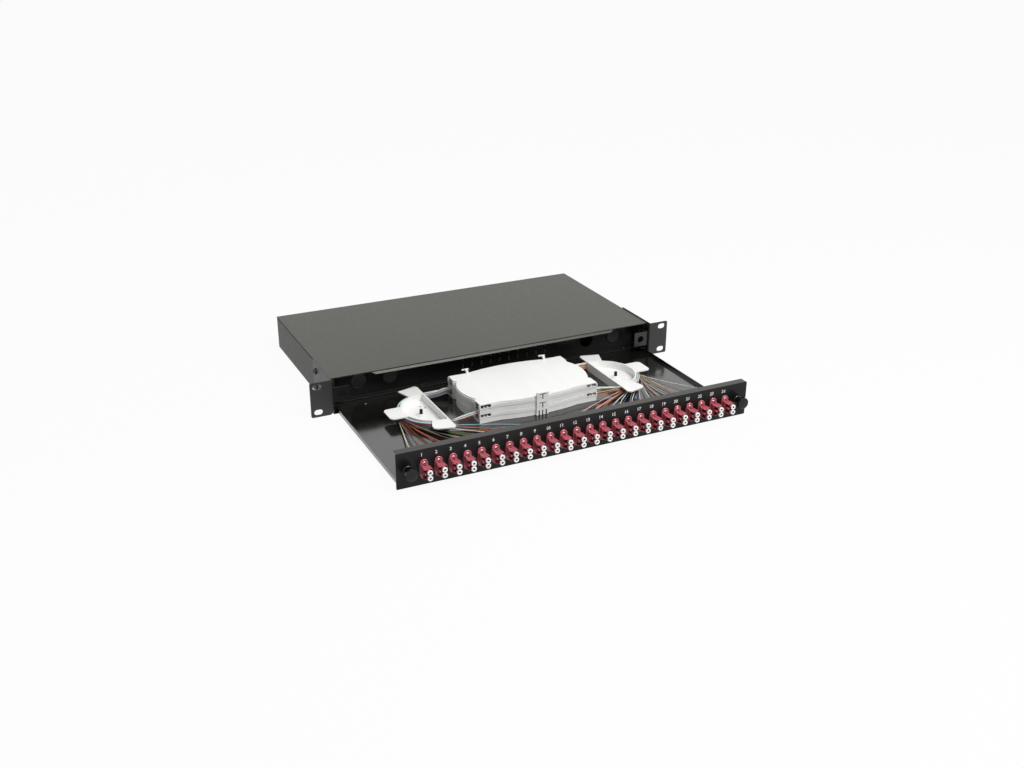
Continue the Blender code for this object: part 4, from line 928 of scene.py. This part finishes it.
def dress_upper_cassette():
    """The splice protectors in their holder, and the fibre wound round the hubs."""
    low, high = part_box("splice_holder_upper")
    middle = (low + high) / 2
    add_piece("splice_sleeves", sleeve_mesh(), "drawer", (middle.x, middle.y, low.z + SLEEVE_RISE))
    fibres = []
    for number in range(WOUND_COUNT):
        column, row = number % WOUND_COLUMNS, number // WOUND_COLUMNS
        half_length = WOUND_HALF_LENGTH + WOUND_COLUMN_STEP * column
        half_width = WOUND_HALF_WIDTH + WOUND_COLUMN_STEP * column
        height = WOUND_Z + WOUND_ROW_STEP * row
        route = []
        for step in range(WOUND_STEPS + 1):
            turn = 2 * math.pi * step / WOUND_STEPS
            along = math.copysign(abs(math.cos(turn)) ** WOUND_SQUARENESS, math.cos(turn))
            route.append((half_length * along, CASSETTE_Y + half_width * math.sin(turn), height))
        fibres.append((route, (5 * number) % len(FIBRE_COLOURS)))
    add_bundle("cassette_fibres", fibres, WOUND_DIAMETER)


def ear_screw_mesh():
    """A pan-head screw that points along +X, with a cross slot."""
    shape = bmesh.new()
    radius = EAR_SCREW_RADIUS
    head = [(radius, 0.0), (radius, radius * 0.25), (radius * 0.75, radius * 0.55),
            (0.0, radius * 0.62)]
    add_turned(shape, head, (0.0, 0.0, 0.0), axis="X", steps=20)
    long, short = radius * 0.55, radius * 0.12
    # The cross slot is a dark plate of painted shade.
    for length, width in ((long, short), (short, long)):
        add_block(shape, (radius * 0.55, radius * 0.64), (-length, length), (-width, width),
                  material_index=1)
    return to_mesh(shape, "ear_screw", "black_screw", "painted_shade")


def add_ear_screws():
    """The screws that hold the ears' legs to the housing."""
    mesh = ear_screw_mesh()
    for side, hand in SIDES:
        for level, height in ((-1, "lower"), (1, "upper")):
            location = place(side * EAR_SCREW_X, EAR_SCREW_Y, EAR_SCREW_Z + level * EAR_SCREW_RISE)
            add_piece(f"ear_screw_{hand}_{height}", mesh, "housing", location, scale=(side, 1, 1))


def add_seams():
    """Strips of painted shade in the gaps along the cover's side edges, above the housing's walls
    and behind the closed panel."""
    cover_low, cover_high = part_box("top_cover")
    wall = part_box("housing_shell")[1].x
    for side, hand in SIDES:
        shape = bmesh.new()
        across = sorted((side * (wall - GAP_SHADE_DEPTH), side * (wall + GAP_SHADE_SKIN)))
        add_block(shape, across, (cover_low.y + GAP_SHADE_FRONT, cover_high.y - GAP_SHADE_REAR),
                  (cover_high.z - GAP_SHADE_BOTTOM, cover_high.z - GAP_SHADE_TOP))
        add_piece("cover_gap_shade_" + hand, to_mesh(shape, "cover_gap_shade_" + hand, "gap_shade"), "housing")


def add_tray_screw():
    """The small screw in the tray's floor, on the left just behind the ears' front faces."""
    shape = bmesh.new()
    head = [(0.0026, 0.0), (0.0026, 0.0008), (0.0021, 0.0015), (0.0011, 0.0018),
            (0.0010, 0.0011), (0.0, 0.0011)]
    add_turned(shape, head, place(*TRAY_SCREW_PLACE), axis="Z", steps=20)
    add_piece("tray_screw_left", to_mesh(shape, "tray_screw_left", "black_screw"), "drawer")


def add_rivets():
    """The rivets that hold the rear wall's foot to the tray."""
    shape = bmesh.new()
    head = [(0.0024, 0.0), (0.0023, 0.0005), (0.0016, 0.0010), (0.0009, 0.0011),
            (0.0007, 0.0008), (0.0, 0.0008)]
    for x in RIVET_PLACES:
        add_turned(shape, head, place(x, RIVET_Y, RIVET_Z), axis="Z", steps=20)
    add_piece("rear_wall_rivets", to_mesh(shape, "rear_wall_rivets", "black_screw"), "drawer")


def add_math(tree, operation, source, second):
    """A Math node for a socket and a number, or for two sockets with a result of at most 1."""
    node = tree.nodes.new("ShaderNodeMath")
    node.operation = operation
    tree.links.new(source, node.inputs[0])
    if isinstance(second, float):
        node.inputs[1].default_value = second
    else:
        tree.links.new(second, node.inputs[1])
        node.use_clamp = True
    return node.outputs[0]


def background_share(tree, most):
    """A factor for the rays that see the background straight, mirrored or through a clear form:
    most for them, and 0 for the rays that carry light to the object."""
    light_path = tree.nodes.new("ShaderNodeLightPath")
    seen = light_path.outputs["Is Camera Ray"]
    for kind in ("Is Glossy Ray", "Is Transmission Ray"):
        seen = add_math(tree, "ADD", seen, light_path.outputs[kind])
    return add_math(tree, "MULTIPLY", seen, most)


def add_stage():
    """A white floor. What is seen of it is nearly white, with a faint shadow."""
    shape = bmesh.new()
    corners = ((-1, -1), (1, -1), (1, 1), (-1, 1))
    shape.faces.new([shape.verts.new((x * FLOOR_HALF, y * FLOOR_HALF, 0.0)) for x, y in corners])
    mesh = bpy.data.meshes.new("floor")
    shape.to_mesh(mesh)
    shape.free()
    floor = add_object("floor", mesh)
    floor.location = (0.0, 0.0, -FLOOR_DROP)
    material = bpy.data.materials.new("floor_white")
    material.use_nodes = True
    tree = material.node_tree
    tree.nodes.clear()
    output = tree.nodes.new("ShaderNodeOutputMaterial")
    matte = tree.nodes.new("ShaderNodeBsdfDiffuse")
    matte.inputs["Color"].default_value = FLOOR_COLOUR
    glow = tree.nodes.new("ShaderNodeEmission")
    glow.inputs["Color"].default_value = WHITE
    mix = tree.nodes.new("ShaderNodeMixShader")
    tree.links.new(background_share(tree, FLOOR_WHITENESS), mix.inputs["Fac"])
    tree.links.new(matte.outputs[0], mix.inputs[1])
    tree.links.new(glow.outputs[0], mix.inputs[2])
    tree.links.new(mix.outputs[0], output.inputs["Surface"])
    mesh.materials.append(material)


def set_world():
    """White where it is seen or mirrored. For the light it is brighter at the rear, the right
    and the top."""
    world = bpy.data.worlds.new("studio")
    bpy.context.scene.world = world
    world.use_nodes = True
    tree = world.node_tree
    background = tree.nodes["Background"]
    background.inputs["Color"].default_value = WHITE
    direction = tree.nodes.new("ShaderNodeTexCoord")
    lean = tree.nodes.new("ShaderNodeVectorMath")
    lean.operation = "DOT_PRODUCT"
    lean.inputs[1].default_value = WORLD_LEAN
    tree.links.new(direction.outputs["Generated"], lean.inputs[0])
    level = add_math(tree, "ADD", lean.outputs["Value"], WORLD_LEVEL)
    light = add_math(tree, "MAXIMUM", level, WORLD_LEAST)
    strength = tree.nodes.new("ShaderNodeMix")
    strength.data_type = "FLOAT"
    strength.inputs["B"].default_value = 1.0
    tree.links.new(background_share(tree, 1.0), strength.inputs["Factor"])
    tree.links.new(light, strength.inputs["A"])
    tree.links.new(strength.outputs["Result"], background.inputs["Strength"])


def add_key_lamp():
    lamp = bpy.data.lights.new("key", "AREA")
    lamp.shape = "RECTANGLE"
    lamp.size, lamp.size_y = LAMP_SIZE
    lamp.energy = LAMP_POWER
    key = add_object("key", lamp)
    key.location = LAMP_PLACE
    ahead = Vector(LAMP_TARGET) - Vector(LAMP_PLACE)
    key.rotation_euler = ahead.to_track_quat("-Z", "Y").to_euler()


def add_camera():
    """The camera of the photograph: its direction, distance and focal length, with a slight
    roll."""
    azimuth, elevation = math.radians(CAMERA_AZIMUTH), math.radians(CAMERA_ELEVATION)
    back = Vector((math.sin(azimuth) * math.cos(elevation),
                   -math.cos(azimuth) * math.cos(elevation), math.sin(elevation)))
    right = (-back).cross(Vector((0.0, 0.0, 1.0))).normalized()
    up = right.cross(-back)
    roll = math.radians(CAMERA_ROLL)
    tilted_right = math.cos(roll) * right + math.sin(roll) * up
    tilted_up = -math.sin(roll) * right + math.cos(roll) * up
    lens = bpy.data.cameras.new("camera")
    lens.sensor_width = SENSOR_WIDTH
    lens.lens = FOCAL_PIXELS * SENSOR_WIDTH / IMAGE_WIDTH
    camera = add_object("camera", lens)
    turn = Matrix((tilted_right, tilted_up, back)).transposed().to_4x4()
    eye = place(*CAMERA_TARGET) + back * CAMERA_DISTANCE
    camera.matrix_world = Matrix.Translation(eye) @ turn
    bpy.context.scene.camera = camera


bpy.context.scene.view_settings.view_transform = "Standard"
add_camera()
dress_solids()
dress_adapters()
add_numbers()
dress_pigtails()
dress_spools()
add_clip_shadows()
dress_upper_cassette()
add_ear_screws()
add_seams()
add_tray_screw()
add_rivets()
add_stage()
set_world()
add_key_lamp()
